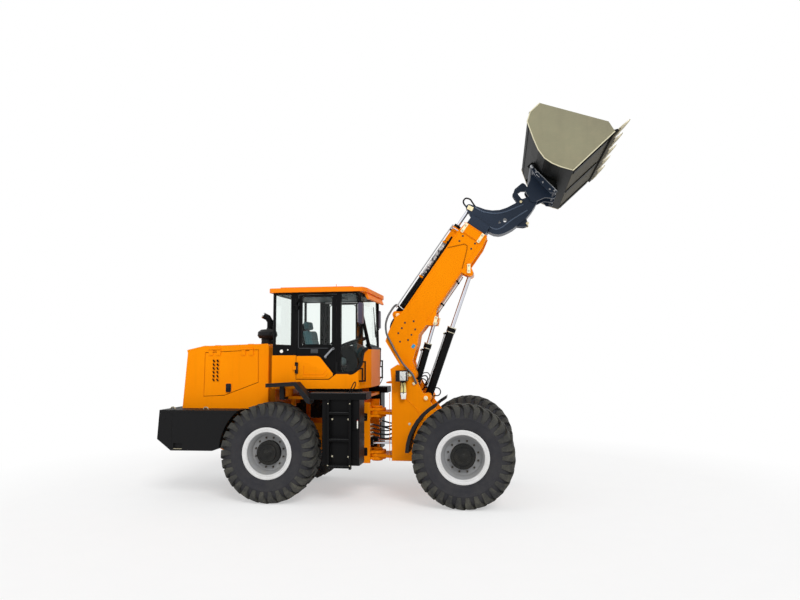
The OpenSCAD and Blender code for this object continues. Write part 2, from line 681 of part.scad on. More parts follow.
module front_frame() color(ORANGE) placed() difference() {
    half = tower_w / 2;
    t = 40;
    wall = hinge_x + 365;
    union() {
        both(tower_side, half - t, half);
        // cross wall, floor and the ledge behind the tower
        block([wall, -half + t, 497], [wall + 40, half - t, 1500]);
        block([wall, -half + t, 497], [-300, half - t, 530]);
        plate([[hinge_x + 180, -half + 95], [hinge_x + 262, -half], [hinge_x + 340, -half],
               [hinge_x + 340, half], [hinge_x + 262, half], [hinge_x + 180, half - 95]], 1590, 1610);
        // lugs of the centre hinge, between the fork plates
        for (z = [[hinge_lower[0] + fork_t + side_play, hinge_lower[1] - fork_t - side_play],
                  [hinge_upper[0] + fork_t + side_play, hinge_upper[1] - fork_t - side_play]]) {
            post(hinge_x, 0, 125, z[0], z[1]);
            plate([[hinge_x + 20, -122], [wall, -half + t], [wall, half - t],
                   [hinge_x + 20, 122]], z[0], z[1]);
        }
        // lugs and pins of the steering rods
        for (s = [-1, 1], z = [steer_z - 62, steer_z + 36])
            block([hinge_x + steer_eye[0] - 42, s * steer_eye[1] - 45, z],
                  [wall, s * steer_eye[1] + 45, z + 26]);
        for (s = [-1, 1], z = [steer_z - 70, steer_z + 36])
            post(hinge_x + steer_eye[0], s * steer_eye[1], 25, z, z + 34);
        // pins and bosses of boom, lift and levelling cylinders
        cross2(boom_pivot, 45, centre_gap + 4, half + 12);
        cross(lift_base, 40, -half - 12, half + 12);
        cross2(lift_base, 66, 62, half - t);
        cross(level_base, 30, -half - 8, half + 8);
        cross2(level_base, 46, 56, half - t);
        // centre hinge pins with their heads
        for (z = [hinge_lower, hinge_upper]) {
            post(hinge_x, 0, 50, z[0] - 14, z[1] + 14);
            post(hinge_x, 0, 80, z[1] + side_play, z[1] + 26);
            post(hinge_x, 0, 80, z[0] - 26, z[0] - side_play);
        }
    }
    // openings in the cross wall behind the steering rod eyes
    for (s = [-1, 1])
        block([wall - 1, s * steer_eye[1] - 64, steer_z - 36],
              [wall + 41, s * steer_eye[1] + 64, steer_z + 36]);
    // saddle over the front axle beam
    cross([0, axle_z], 95.3, -half - 1, half + 1);
}

module front_axle() color(BLACK) placed() {
    axle(0);
}

// arched guards behind the front tyres, each on two stays
module front_fenders() color(BLACK) placed() for (s = [-1, 1]) mirror([0, s > 0 ? 0 : 1, 0]) {
    c = [0, axle_z];
    r = wheel_r + 48;
    slab(concat(arc(c, r, 120, 178, 7), arc(c, r + 46, 178, 117, 7)), 632, 950);
    for (a = [145, 172]) {
        q = [c[0] + (r + 25) * cos(a), c[1] + (r + 25) * sin(a)];
        cross(q, 22, tower_w / 2, 634);
    }
}

// head lamp on its bracket with an indicator below, on each side of the tower
module front_lamps() color(BLACK) placed() for (s = [-1, 1]) mirror([0, s > 0 ? 0 : 1, 0]) {
    x = hinge_x + 440;
    y = tower_w / 2;
    block([x - 75, y + 40, 1625], [x + 75, y + 200, 1780]);
    block([x - 30, y, 1560], [x + 30, y + 60, 1700]);
    block([x - 25, y, 1405], [x + 35, y + 60, 1545]);
    block([x - 25, y, 1545], [x + 35, y + 40, 1560]);
}

// ==== wheels ====

module front_right_tyre() color(BLACK) placed() at_wheel(0, -1) tyre();
module front_left_tyre() color(BLACK) placed() at_wheel(0, 1) tyre();
module rear_right_tyre() color(BLACK) placed() at_wheel(rear_x, -1) tyre();
module rear_left_tyre() color(BLACK) placed() at_wheel(rear_x, 1) tyre();
module front_right_rim() color(CHROME) placed() at_wheel(0, -1) rim();
module front_left_rim() color(CHROME) placed() at_wheel(0, 1) rim();
module rear_right_rim() color(CHROME) placed() at_wheel(rear_x, -1) rim();
module rear_left_rim() color(CHROME) placed() at_wheel(rear_x, 1) rim();

// ==== boom, drawn along its own axis ====

// side plate: heel, belly lug of the levelling rod, belly lug of the lift rod, mouth
boom_side = concat(
    arc([0, 0], 82, 170, 300, 6),
    [[169, 91], [421, 178], [540, box_bottom - 5], [715, box_bottom - 14]],
    arc(level_eye, 52, 205, 335, 4),
    [[950, box_bottom - 30], [1000, box_bottom], [1640, box_bottom]],
    arc(lift_eye, 52, 205, 335, 4),
    [[1800, box_bottom - 45], [2113, box_bottom - 45], [boom_len - 4, box_bottom - 8],
     [boom_len, box_top - 30], [2109, box_top], [650, box_top], [549, box_top + 40],
     [323, box_top + 2], [178, 591], [28, 252]]);

module outer_boom() color(ORANGE) placed() on_boom() {
    w = boom_w / 2;
    heel_w = tower_w / 2 - 40 - side_play;
    pad = [[0, 0], [170, 0], [170, tube_gap - pin_play], [0, tube_gap - pin_play]];
    difference() {
        union() {
            slab(boom_side, -w, w);
            cross([0, 0], 88, -heel_w, heel_w);
            // raised frame round the mouth
            block([boom_len - 150, -w - 14, box_bottom + 20], [boom_len - 10, w + 14, box_top - 34]);
            // ears of the extension cylinder
            both(concat([[470, box_top - 4]], arc([extend_base_u, extend_axis], 52, 150, 0, 5),
                        [[700, box_top - 4]]), 52, 86);
        }
        cross([0, 0], 45 + pin_play, -heel_w - 1, heel_w + 1);
        // the levelling cylinder passes between the two halves of the heel
        block([-120, -centre_gap, -120], [560, centre_gap, 160]);
        // inside of the box and of the heel
        block([700, -w + plate_t, box_bottom + plate_t], [boom_len + 1, w - plate_t, box_top - plate_t]);
        slab([[300, 330], [350, 570], [701, box_top - plate_t], [701, box_bottom + plate_t],
              [560, box_bottom + plate_t], [430, 250]], -w + plate_t, w - plate_t);
        // the rod eyes hang between the side plates
        block([620, -w + 40, 60], [960, w - 40, box_bottom - 1]);
        block([1560, -w + 40, 40], [boom_len + 1, w - 40, box_bottom - 1]);
        block([120, -w + 40, 60], [560, w - 40, 150]);
    }
    cross([extend_base_u, extend_axis], 28, -94, 94);
    // rod pins with their spacers
    for (q = [[level_eye, 28, 56], [lift_eye, 34, 62]]) {
        cross2(q[0], q[1], q[2], w + 10);
        cross2(q[0], q[1] + 16, q[2], w - 39);
    }
    // sliding pads in the mouth, just clear of the inner boom
    for (u = [boom_len - 180]) {
        for (s = [-1, 1]) {
            block([u, s > 0 ? w - plate_t - tube_gap + pin_play : -w + plate_t, box_bottom + 80],
                  [u + 170, s > 0 ? w - plate_t : -w + plate_t + tube_gap - pin_play, box_top - 80]);
        }
        block([u, -110, box_bottom + plate_t], [u + 170, 110, box_bottom + plate_t + tube_gap - pin_play]);
        block([u, -110, box_top - plate_t - tube_gap + pin_play], [u + 170, 110, box_top - plate_t]);
    }
}

tube_w = boom_w / 2 - plate_t - tube_gap;
tube_bottom = box_bottom + plate_t + tube_gap;
tube_top = box_top - plate_t - tube_gap;
tube_tail = 800;
tube_end = 2400;

module inner_boom() color(SLATE) placed() on_boom(boom_out) {
    difference() {
        block([tube_tail, -tube_w, tube_bottom], [tube_end, tube_w, tube_top]);
        block([tube_tail - 1, -tube_w + 16, tube_bottom + 16],
              [tube_end - 60, tube_w - 16, tube_top - 16]);
    }
    // tail pads against the inside of the outer boom
    g = tube_gap - pin_play;
    block2([tube_tail, tube_w, tube_bottom + 60], [tube_tail + 150, tube_w + g, tube_top - 60]);
    block([tube_tail, -100, tube_top], [tube_tail + 150, 100, tube_top + g]);
    block([tube_tail, -100, tube_bottom - g], [tube_tail + 150, 100, tube_bottom]);
}

head_w = 100;

// curved arm from the end of the inner boom out to the coupler pin
head_side = concat(
    arc([extend_eye_u, extend_axis], 50, 175, 30, 6),
    [[2590, 590], [2612, 490], [2655, 395], [2720, 308], [2806, 240], [2905, 186],
     [2960, 156]],
    arc(lever_pin, 38, 100, 50, 2),
    [[3049, 112], [3095, 80]], arc(bucket_pin, 66, 100, -95, 9),
    [[3060, -86], [2956, -90], [2824, -82], [2710, -43], [2590, -6], [2530, 24],
     [2478, 56], [2440, 84], [2404, 122], [2374, 185], [2360, tube_bottom - 6],
     [tube_end, tube_bottom - 6], [tube_end, tube_top + 20], [2425, 640]]);

extend_pin = [extend_eye_u, extend_axis];

module gooseneck_head() color(SLATE) placed() on_boom(boom_out) {
    cross(extend_pin, 28, -head_w - 8, head_w + 8);
    difference() {
        union() {
            slab(head_side, -head_w, head_w);
            block([tube_end, -tube_w, tube_bottom], [tube_end + 30, tube_w, tube_top]);
            // lug under the curve
            both([[2634, 20], [2700, -110], [2731, -142], [2778, -142], [2808, -114],
                  [2840, -60]], 30, 62);
            cross2(lever_pin, 50, 52, head_w);
        }
        // fork for the extension rod eye
        block([2440, -46, 600], [2640, 46, 800]);
        // slot for the tilt lever and link
        slab([[2720, 420], [2720, 262], [2880, -25], [3230, -75], [3230, 200]], -52, 52);
        // through holes: lever pin, coupler pin, lifting hole, weight-saving hole
        cross(lever_pin, 25 + pin_play, -head_w - 1, head_w + 1);
        cross(bucket_pin, 32 + pin_play, -head_w - 1, head_w + 1);
        cross(lifting_hole, 30, -head_w - 1, head_w + 1);
        cross([2566, 208], 20, -head_w - 1, head_w + 1);
    }
}

module extension_barrel() color(BLACK) placed() on_boom()
    translate([extend_base_u, 0, extend_axis])
        cylinder_barrel(boom_len - 84 - extend_base_u, 44, 25, 44, 92, 28);

module extension_rod() color(CHROME) placed() on_boom(boom_out)
    translate([0, 0, extend_axis]) cylinder_rod(extend_eye_u, 1760, 25, 44, 84, 28);

// hydraulic pipes clipped along the top of the boom
module boom_pipes() color(CHROME) placed() on_boom() {
    for (y = [-150, -115, 115, 150])
        translate([760, y, box_top + 30]) rotate([0, 90, 0]) cylinder(r = 11, h = 1240);
    for (u = [900, 1300, 1700], s = [-1, 1])
        block([u, s * 132 - 40, box_top], [u + 50, s * 132 + 40, box_top + 48]);
}

// ==== tilt linkage ====

link_top = [lever_at[0] + link_arm * cos(link_arm_angle),
            lever_at[1] + link_arm * sin(link_arm_angle)];
link_end = [bucket_at[0] + link_arm * cos(link_arm_angle),
            bucket_at[1] + link_arm * sin(link_arm_angle)];

// children drawn along +X from side-view point p at an angle
module at_angle(p, a) translate([p[0], 0, p[1]]) rotate([0, -a, 0]) children();

lever_play = 5;
link_w = 17;
lever_plate = [[link_w + lever_play, 46], [-46, -link_w - lever_play]];

module tilt_lever() color(SLATE) placed() at_angle(lever_at, link_arm_angle) {
    difference() {
        for (y = lever_plate) slab(concat(arc([0, 0], 44, 90, 270, 8),
            arc([link_arm, 0], 40, -90, 90, 8)), y[0], y[1]);
        cross([link_arm, 0], 22 + pin_play, -60, 60);
    }
    cross([0, 0], 25, -head_w - 8, head_w + 8);
}

module tilt_link() color(SLATE) placed() at_angle(link_top, angle_of(link_top, link_end)) {
    len = norm(link_end - link_top);
    difference() {
        union() {
            slab(concat(arc([0, 0], 36, 130, 290, 7), [[len * 0.2, 14], [len * 0.5, 32],
                [len * 0.8, 14]], arc([len, 0], 34, -110, 40, 6), [[len * 0.98, 118],
                [len * 0.85, 146], [len * 0.72, 146], [len * 0.1, 92]]), -link_w, link_w);
            cross2([len, 0], 33, link_w, 44);
        }
        cross([len, 0], 22 + pin_play, -60, 60);
    }
    cross([0, 0], 22, -50, 50);
}

// ==== coupler and bucket, drawn with the bucket floor along X ====

coupler_face = 240;
hook_at = [coupler_face - 20, 292];
hook_r = 30;
arm_at = [link_arm * cos(link_arm_angle - bucket_angle),
          link_arm * sin(link_arm_angle - bucket_angle)];

module quick_coupler() color(SLATE) placed() on_bucket() difference() {
    union() {
        both(concat(arc([0, 0], 68, 265, 180, 4), [[arm_at[0] - 46, arm_at[1] - 10]],
                    arc(arm_at, 44, 165, 60, 4),
                    [[150, 225], [coupler_face, 300], [coupler_face, -205], [200, -215],
                     [110, -110]]), head_w + side_play, head_w + side_play + 38);
        cross([0, 0], 32, -head_w - side_play - 30, head_w + side_play + 30);
        cross(arm_at, 22, -head_w - side_play - 30, head_w + side_play + 30);
        // face plate and the cross tubes that hook the bucket
        block([coupler_face - 34, -430, -190], [coupler_face, 430, 270]);
        cross(hook_at, hook_r, -470, 470);
        for (y = [-430, 400]) slab([[150, 60], [150, -150], [200, -205], [coupler_face, -205],
            [coupler_face, 300], [205, 300]], y, y + 30);
    }
    // lock pin bores at the foot
    cross([coupler_face - 34, -172], 20, -480, 480);
}

bucket_section = [[723, 723], [554, 724], [438, 659], [337, 438], [277, 280], [256, 143],
                  [277, 26], [320, -83], [399, -232], [1125, -232]];

module bucket_shell() color(OLIVE) placed() on_bucket() {
    w = bucket_w / 2;
    t = bucket_t;
    difference() {
        slab(concat(bucket_section, [[1159, -82]]), -w, w);
        slab([[740, 724 - t], [560, 724 - t], [454, 643], [359, 430], [299, 276],
              [279, 145], [299, 32], [342, -74], [414, -232 + t], [1300, -232 + t], [1300, -60]],
             -w + t, w - t);
        block([723, -w + t, 300], [1300, w - t, 800]);
    }
    // cutting edge and side edges
    slab([[1060, -258], [1060, -232], [1125, -232], [1125, -206], [1170, -232], [1170, -258]], -w, w);
    // spill guard rib and wear strips under the heel
    block([420, -w + 60, -250], [1000, -w + 200, -232]);
    block([420, w - 200, -250], [1000, w - 60, -232]);
    block([420, -70, -250], [1000, 70, -232]);
    // hook plates that the coupler carries
    difference() {
        for (y = [-390, 360])
            slab([[coupler_face + 6, 240], [coupler_face + 6, 310], [190, 322], [196, 356],
                  [290, 350], [300, 250], [264, 143], [290, 20], [330, -90],
                  [coupler_face + 6, -205]], y, y + 30);
        cross(hook_at, hook_r + pin_play, -480, 480);
    }
}

module bucket_teeth() color(BLACK) placed() on_bucket()
    for (y = [-1020, -510, 0, 510, 1020])
        slab([[1150, -204], [1150, -220], [1170, -232], [1170, -258], [1100, -258],
              [1100, -280], [1200, -272], tooth_tip, [1200, -214]], y - 40, y + 40);

// ==== lift, levelling and steering cylinders ====

lift_at = boom_xz(lift_eye);
level_at = boom_xz(level_eye);

module at_cylinder(p, q) translate([p[0], 0, p[1]]) rotate([0, -angle_of(p, q), 0]) children();

module lift_barrel() color(BLACK) placed() at_cylinder(lift_base, lift_at)
    cylinder_barrel(1073, 59, 30, 66, 112, 40);
module lift_rod() color(CHROME) placed() at_cylinder(lift_base, lift_at)
    cylinder_rod(norm(lift_at - lift_base), 1270, 30, 54, 112, 34);
module levelling_barrel() color(BLACK) placed() at_cylinder(level_base, level_at)
    cylinder_barrel(600, 50, 27, 50, 100, 30);
module levelling_rod() color(CHROME) placed() at_cylinder(level_base, level_at)
    cylinder_rod(norm(level_at - level_base), 655, 27, 44, 100, 28);

steer_len = norm([steer_eye[0] - steer_base[0], steer_base[1] - steer_eye[1]]);

// the cylinder lies flat, so its pins stand upright
module at_steering(s) {
    toe = atan2(steer_base[1] - steer_eye[1], steer_eye[0] - steer_base[0]);
    translate([hinge_x + steer_base[0], s * steer_base[1], steer_z])
        rotate([0, 0, -s * toe]) rotate([90, 0, 0]) children();
}
module steering_barrel(s) at_steering(s) cylinder_barrel(460, 34, 17, 36, 60, 25);
module steering_rod(s) at_steering(s) cylinder_rod(steer_len, 560, 17, 34, 60, 25);

module right_steering_barrel() color(BLACK) placed() steering_barrel(-1);
module left_steering_barrel() color(BLACK) placed() steering_barrel(1);
module right_steering_rod() color(CHROME) placed() steering_rod(-1);
module left_steering_rod() color(CHROME) placed() steering_rod(1);

module right_engine_cover() engine_cover(-1);
module left_engine_cover() engine_cover(1);

rear_frame();
rear_axle();
counterweight();
engine_block();
engine_hood();
radiator_grille();
air_precleaner();
exhaust_stack();
cab_body();
cab_frame();
cab_roof();
cab_glass();
driver_seat();
steering_console();
side_platforms();
side_boxes();
side_ladders();
rear_fenders();
cab_mirrors();
grab_rails();
right_door();
right_door_glass();
left_door();
left_door_glass();
right_engine_cover();
left_engine_cover();
front_frame();
front_axle();
front_fenders();
front_lamps();
front_right_tyre();
front_right_rim();
front_left_tyre();
front_left_rim();
rear_right_tyre();
rear_right_rim();
rear_left_tyre();
rear_left_rim();
outer_boom();
extension_barrel();
boom_pipes();
inner_boom();
gooseneck_head();
extension_rod();
tilt_lever();
tilt_link();
quick_coupler();
bucket_shell();
bucket_teeth();
lift_barrel();
lift_rod();
levelling_barrel();
levelling_rod();
right_steering_barrel();
right_steering_rod();
left_steering_barrel();
left_steering_rod();
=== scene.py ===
"""The looks of an articulated telescopic loader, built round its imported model.

Each sub-assembly is a class with its sizes as fields. Lengths inside the classes are
millimetres of a side view, as a drawing gives them, and Frame turns them into metres.
"""

import logging
import math
from dataclasses import dataclass, field
from enum import Enum
from typing import Iterable, Optional, Sequence, Union

import bmesh
import bpy
from mathutils import Matrix, Vector


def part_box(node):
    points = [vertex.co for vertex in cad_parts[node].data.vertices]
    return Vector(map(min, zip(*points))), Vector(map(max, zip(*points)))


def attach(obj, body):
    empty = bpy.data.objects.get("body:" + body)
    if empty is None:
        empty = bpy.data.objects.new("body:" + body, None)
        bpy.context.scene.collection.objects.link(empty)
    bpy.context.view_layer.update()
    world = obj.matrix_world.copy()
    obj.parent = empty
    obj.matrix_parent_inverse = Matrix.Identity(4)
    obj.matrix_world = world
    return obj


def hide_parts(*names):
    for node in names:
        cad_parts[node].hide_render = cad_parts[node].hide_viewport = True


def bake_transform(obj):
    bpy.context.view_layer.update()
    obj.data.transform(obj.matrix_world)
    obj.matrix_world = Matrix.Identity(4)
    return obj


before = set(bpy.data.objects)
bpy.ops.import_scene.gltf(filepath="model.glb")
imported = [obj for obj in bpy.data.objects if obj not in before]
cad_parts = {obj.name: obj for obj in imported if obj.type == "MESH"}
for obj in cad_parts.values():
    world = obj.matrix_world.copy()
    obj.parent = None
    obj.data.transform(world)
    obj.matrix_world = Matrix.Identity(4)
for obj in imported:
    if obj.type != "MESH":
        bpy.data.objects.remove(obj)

LOG = logging.getLogger("loader")
MM = 0.001

Point = Sequence[float]
Outline = Sequence[Sequence[float]]
Colour = tuple[float, float, float]
Value = Union[float, Sequence[float], bpy.types.NodeSocket]
Sockets = bpy.types.bpy_prop_collection
RIGHT, LEFT = -1, 1
SIDES = (RIGHT, LEFT)
WORDS = {RIGHT: "right", LEFT: "left"}
UP = (0.0, 0.0, 1.0)
CENTRE = (0.0, 0.0, 0.0)


# ---------------------------------------------------------------- frames and shapes

def front_axle_x() -> float:
    """Returns the front axle's middle along the machine, in millimetres."""
    low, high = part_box("front_axle")
    return (low.x + high.x) / 2 / MM


@dataclass(frozen=True)
class Frame:
    """A side view: where its origin stands on the machine, in mm, and how it is turned."""

    x: float = 0.0
    z: float = 0.0
    angle: float = 0.0

    def matrix(self) -> Matrix:
        """Returns the matrix from this view's millimetres to the scene's metres."""
        place = Matrix.Translation(((front_axle_x() + self.x) * MM, 0.0, self.z * MM))
        return place @ Matrix.Rotation(-math.radians(self.angle), 4, "Y") @ Matrix.Scale(MM, 4)

    def at(self, u: float, y: float, v: float) -> Vector:
        """Returns a point of this view in the scene's metres."""
        return self.matrix() @ Vector((u, y, v))

    def sub(self, u: float, v: float, angle: float = 0.0) -> "Frame":
        """Returns a view whose origin is a point of this one, turned by an angle more.

        Args:
            u: The new origin in this view, lengthwise.
            v: The new origin in this view, upwards.
            angle: How far the new view is turned, in degrees.

        Returns:
            The view.
        """
        turn = math.radians(self.angle)
        return Frame(self.x + u * math.cos(turn) - v * math.sin(turn),
                     self.z + u * math.sin(turn) + v * math.cos(turn), self.angle + angle)


def arc(centre: Point, radius: float, start: float, end: float,
        steps: int) -> list[tuple[float, float]]:
    """Points on a circle in a side view.

    Args:
        centre: The circle's middle.
        radius: Its radius.
        start: First angle in degrees.
        end: Last angle in degrees.
        steps: How many chords.

    Returns:
        The points from the first angle to the last.
    """
    angles = [math.radians(start + (end - start) * i / steps) for i in range(steps + 1)]
    return [(centre[0] + radius * math.cos(a), centre[1] + radius * math.sin(a)) for a in angles]


def along(points: Sequence[Point], share: float) -> Vector:
    """Returns the point at a share of a polyline's corners, from 0 to 1.

    Args:
        points: The polyline's corners.
        share: How far along them, from 0 to 1.

    Returns:
        The point.
    """
    place = max(0.0, min(1.0, share)) * (len(points) - 1)
    i = min(int(place), len(points) - 2)
    return Vector(points[i]).lerp(Vector(points[i + 1]), place - i)


def smoothed(points: Sequence[Point], per_span: int = 6) -> list[Vector]:
    """Runs a smooth curve through the given points.

    Args:
        points: The corners, in space.
        per_span: How many steps between two of them.

    Returns:
        The points of a Catmull-Rom curve through them all.
    """
    given = [Vector(p) for p in points]
    ends = [given[0] * 2 - given[1], *given, given[-1] * 2 - given[-2]]
    made = []
    for i in range(1, len(ends) - 2):
        a, b, c, d = ends[i - 1:i + 3]
        for k in range(per_span):
            t = k / per_span
            made.append(0.5 * (2 * b + (c - a) * t + (2 * a - 5 * b + 4 * c - d) * t * t
                               + (3 * b - a - 3 * c + d) * t ** 3))
    return made + [given[-1]]


class Shape:
    """A mesh under construction, in the millimetres of one view."""

    def __init__(self, view: Union[Frame, Matrix]) -> None:
        """Starts an empty mesh in a view."""
        self.mesh = bmesh.new()
        self.place = view.matrix() if isinstance(view, Frame) else view

    def _keep(self, part: bmesh.types.BMesh) -> "Shape":
        """Adds a finished part, with its faces turned outwards.

        Args:
            part: The finished part.

        Returns:
            The shape itself.
        """
        bmesh.ops.recalc_face_normals(part, faces=part.faces)
        carrier = bpy.data.meshes.new("carrier")
        part.to_mesh(carrier)
        part.free()
        self.mesh.from_mesh(carrier)
        bpy.data.meshes.remove(carrier)
        return self

    @staticmethod
    def _soften(part: bmesh.types.BMesh, edges: Iterable[bmesh.types.BMEdge], width: float,
                rings: int) -> None:
        """Rounds some edges of a part.

        Args:
            part: The part.
            edges: The edges to round.
            width: The width of the rounding.
            rings: Steps in the rounding.
        """
        if width > 0:
            bmesh.ops.bevel(part, geom=list(edges), offset=width, offset_type="OFFSET",
                            segments=rings, profile=0.5, affect="EDGES", clamp_overlap=True,
                            material=-1)

    def block(self, low: Point, high: Point, soft: float = 2.0, rings: int = 2,
              turn: Optional[Matrix] = None, side: int = LEFT) -> "Shape":
        """Adds a block with rounded edges.

        Args:
            low: Its lowest corner, as it is on the left side.
            high: Its highest corner.
            soft: Radius of its edges.
            rings: Steps in each rounded edge.
            turn: A matrix that places it afterwards, or None.
            side: The side it stands on.

        Returns:
            The shape itself.
        """
        part = bmesh.new()
        y0, y1 = sorted((side * low[1], side * high[1]))
        a, b = Vector((low[0], y0, low[2])), Vector((high[0], y1, high[2]))
        place = Matrix.LocRotScale((a + b) / 2, None, b - a)
        bmesh.ops.create_cube(part, size=1.0, matrix=(turn or Matrix.Identity(4)) @ place)
        self._soften(part, part.edges, soft, rings)
        return self._keep(part)

    def rod(self, start: Point, end: Point, radius: float, sides: int = 20,
            soft: float = 1.5) -> "Shape":
        """Adds a round bar between two points.

        Args:
            start: Middle of its first end.
            end: Middle of its last end.
            radius: Its radius.
            sides: How many sides make it round.
            soft: Radius of its end edges.

        Returns:
            The shape itself.
        """
        part = bmesh.new()
        a, b = Vector(start), Vector(end)
        turn = (b - a).to_track_quat("Z", "Y").to_matrix().to_4x4()
        bmesh.ops.create_cone(part, cap_ends=True, cap_tris=False, segments=sides, radius1=radius,
                              radius2=radius, depth=(b - a).length,
                              matrix=Matrix.Translation((a + b) / 2) @ turn)
        rims = [e for e in part.edges if any(len(f.verts) == sides for f in e.link_faces)]
        self._soften(part, rims if sides > 4 else part.edges, soft, 2)
        return self._keep(part)

    def turned(self, section: Sequence[Point], centre: Point, axis: Point = (0, 1, 0),
               steps: int = 48, closed: bool = False) -> "Shape":
        """Adds a turned part.

        Args:
            section: Its outline as radius and height pairs.
            centre: The point of the axis where height is 0.
            axis: The direction in which height grows.
            steps: How many steps make it round.
            closed: Whether the outline ends where it starts.

        Returns:
            The shape itself.
        """
        part = bmesh.new()
        turn = Vector(axis).to_track_quat("Z", "Y").to_matrix().to_4x4()
        place = Matrix.Translation(Vector(centre)) @ turn
        line = [part.verts.new(place @ Vector((r, 0.0, h))) for r, h in section]
        pairs = list(zip(line, line[1:])) + ([(line[-1], line[0])] if closed else [])
        edges = [part.edges.new(pair) for pair in pairs]
        bmesh.ops.spin(part, geom=line + edges, cent=Vector(centre),
                       axis=Vector(axis).normalized(), angle=math.tau, steps=steps,
                       use_merge=True)
        bmesh.ops.remove_doubles(part, verts=part.verts, dist=0.01)
        return self._keep(part)

    def plate(self, outline: Outline, near: float, out: float, soft: float = 1.5,
              rings: int = 1, side: int = LEFT) -> "Shape":
        """Adds a plate cut to a side-view outline.

        Args:
            outline: Its corners as pairs in the side view.
            near: Where it starts across the machine, as it is on the left side.
            out: Where it ends.
            soft: Radius of its edges.
            rings: Steps in each rounded edge.
            side: The side it stands on.

        Returns:
            The shape itself.
        """
        part = bmesh.new()
        y0, y1 = sorted((side * near, side * out))
        face = part.faces.new([part.verts.new((u, y0, v)) for u, v in outline])
        grown = bmesh.ops.extrude_face_region(part, geom=[face])["geom"]
        moved = [g for g in grown if isinstance(g, bmesh.types.BMVert)]
        bmesh.ops.translate(part, vec=(0.0, y1 - y0, 0.0), verts=moved)
        half = (y1 - y0) / 2
        caps = [e for e in part.edges if abs(e.verts[0].co.y - e.verts[1].co.y) < half]
        self._soften(part, caps, soft, rings)
        return self._keep(part)

    def tube(self, points: Sequence[Point], radius: float, sides: int = 10) -> "Shape":
        """Adds a round bar along a line of points.

        Args:
            points: The middle line.
            radius: Its radius.
            sides: How many sides make it round.

        Returns:
            The shape itself.
        """
        line = [Vector(p) for p in points]
        tangents = [(line[min(i + 1, len(line) - 1)] - line[max(i - 1, 0)]).normalized()
                    for i in range(len(line))]
        turns = [tangents[0].to_track_quat("Z", "Y")]
        for before, now in zip(tangents, tangents[1:]):
            turns.append(before.rotation_difference(now) @ turns[-1])
        places = [Matrix.Translation(p) @ q.to_matrix().to_4x4() for p, q in zip(line, turns)]
        part = bmesh.new()
        bmesh.ops.create_circle(part, cap_ends=False, segments=sides, radius=radius,
                                matrix=places[0])
        ring = list(part.edges)
        bmesh.ops.edgeloop_fill(part, edges=ring)
        for before, now in zip(places, places[1:]):
            grown = bmesh.ops.extrude_edge_only(part, edges=ring)["geom"]
            verts = [g for g in grown if isinstance(g, bmesh.types.BMVert)]
            ring = [g for g in grown if isinstance(g, bmesh.types.BMEdge)]
            bmesh.ops.transform(part, matrix=now @ before.inverted(), verts=verts)
        bmesh.ops.edgeloop_fill(part, edges=ring)
        return self._keep(part)

    def bolt(self, at: Point, axis: Point, size: float = 16.0, washer: bool = True) -> "Shape":
        """Adds a hexagon bolt head on its washer.

        Args:
            at: The point of the surface it stands on.
            axis: The way it stands up.
            size: Its width across the corners.
            washer: Whether it has a washer.

        Returns:
            The shape itself.
        """
        way = Vector(axis).normalized()
        foot = Vector(at)
        if washer:
            self.rod(foot - way, foot + way * size * 0.14, size * 0.72, 12, 0.0)
        return self.rod(foot - way, foot + way * size * 0.5, size / 2, 6, size * 0.05)

    def copies(self, base: bpy.types.Mesh, places: Iterable[Matrix]) -> "Shape":
        """Adds a mesh once at each of the places.

        Args:
            base: The mesh to repeat.
            places: Where each copy goes.

        Returns:
            The shape itself.
        """
        for place in places:
            part = bmesh.new()
            part.from_mesh(base)
            bmesh.ops.transform(part, matrix=place, verts=part.verts)
            self._keep(part)
        return self

    def as_mesh(self, name: str, sharp: float = 35.0) -> bpy.types.Mesh:
        """Turns the shape into a mesh in metres, shaded smooth but for its sharp edges.

        Args:
            name: The mesh's name.
            sharp: The angle in degrees past which an edge is sharp.

        Returns:
            The mesh.
        """
        bmesh.ops.transform(self.mesh, matrix=self.place, verts=self.mesh.verts)
        made = bpy.data.meshes.new(name)
        self.mesh.to_mesh(made)
        self.mesh.free()
        made.shade_smooth()
        made.set_sharp_from_angle(angle=math.radians(sharp))
        return made


# ---------------------------------------------------------------- shader effects

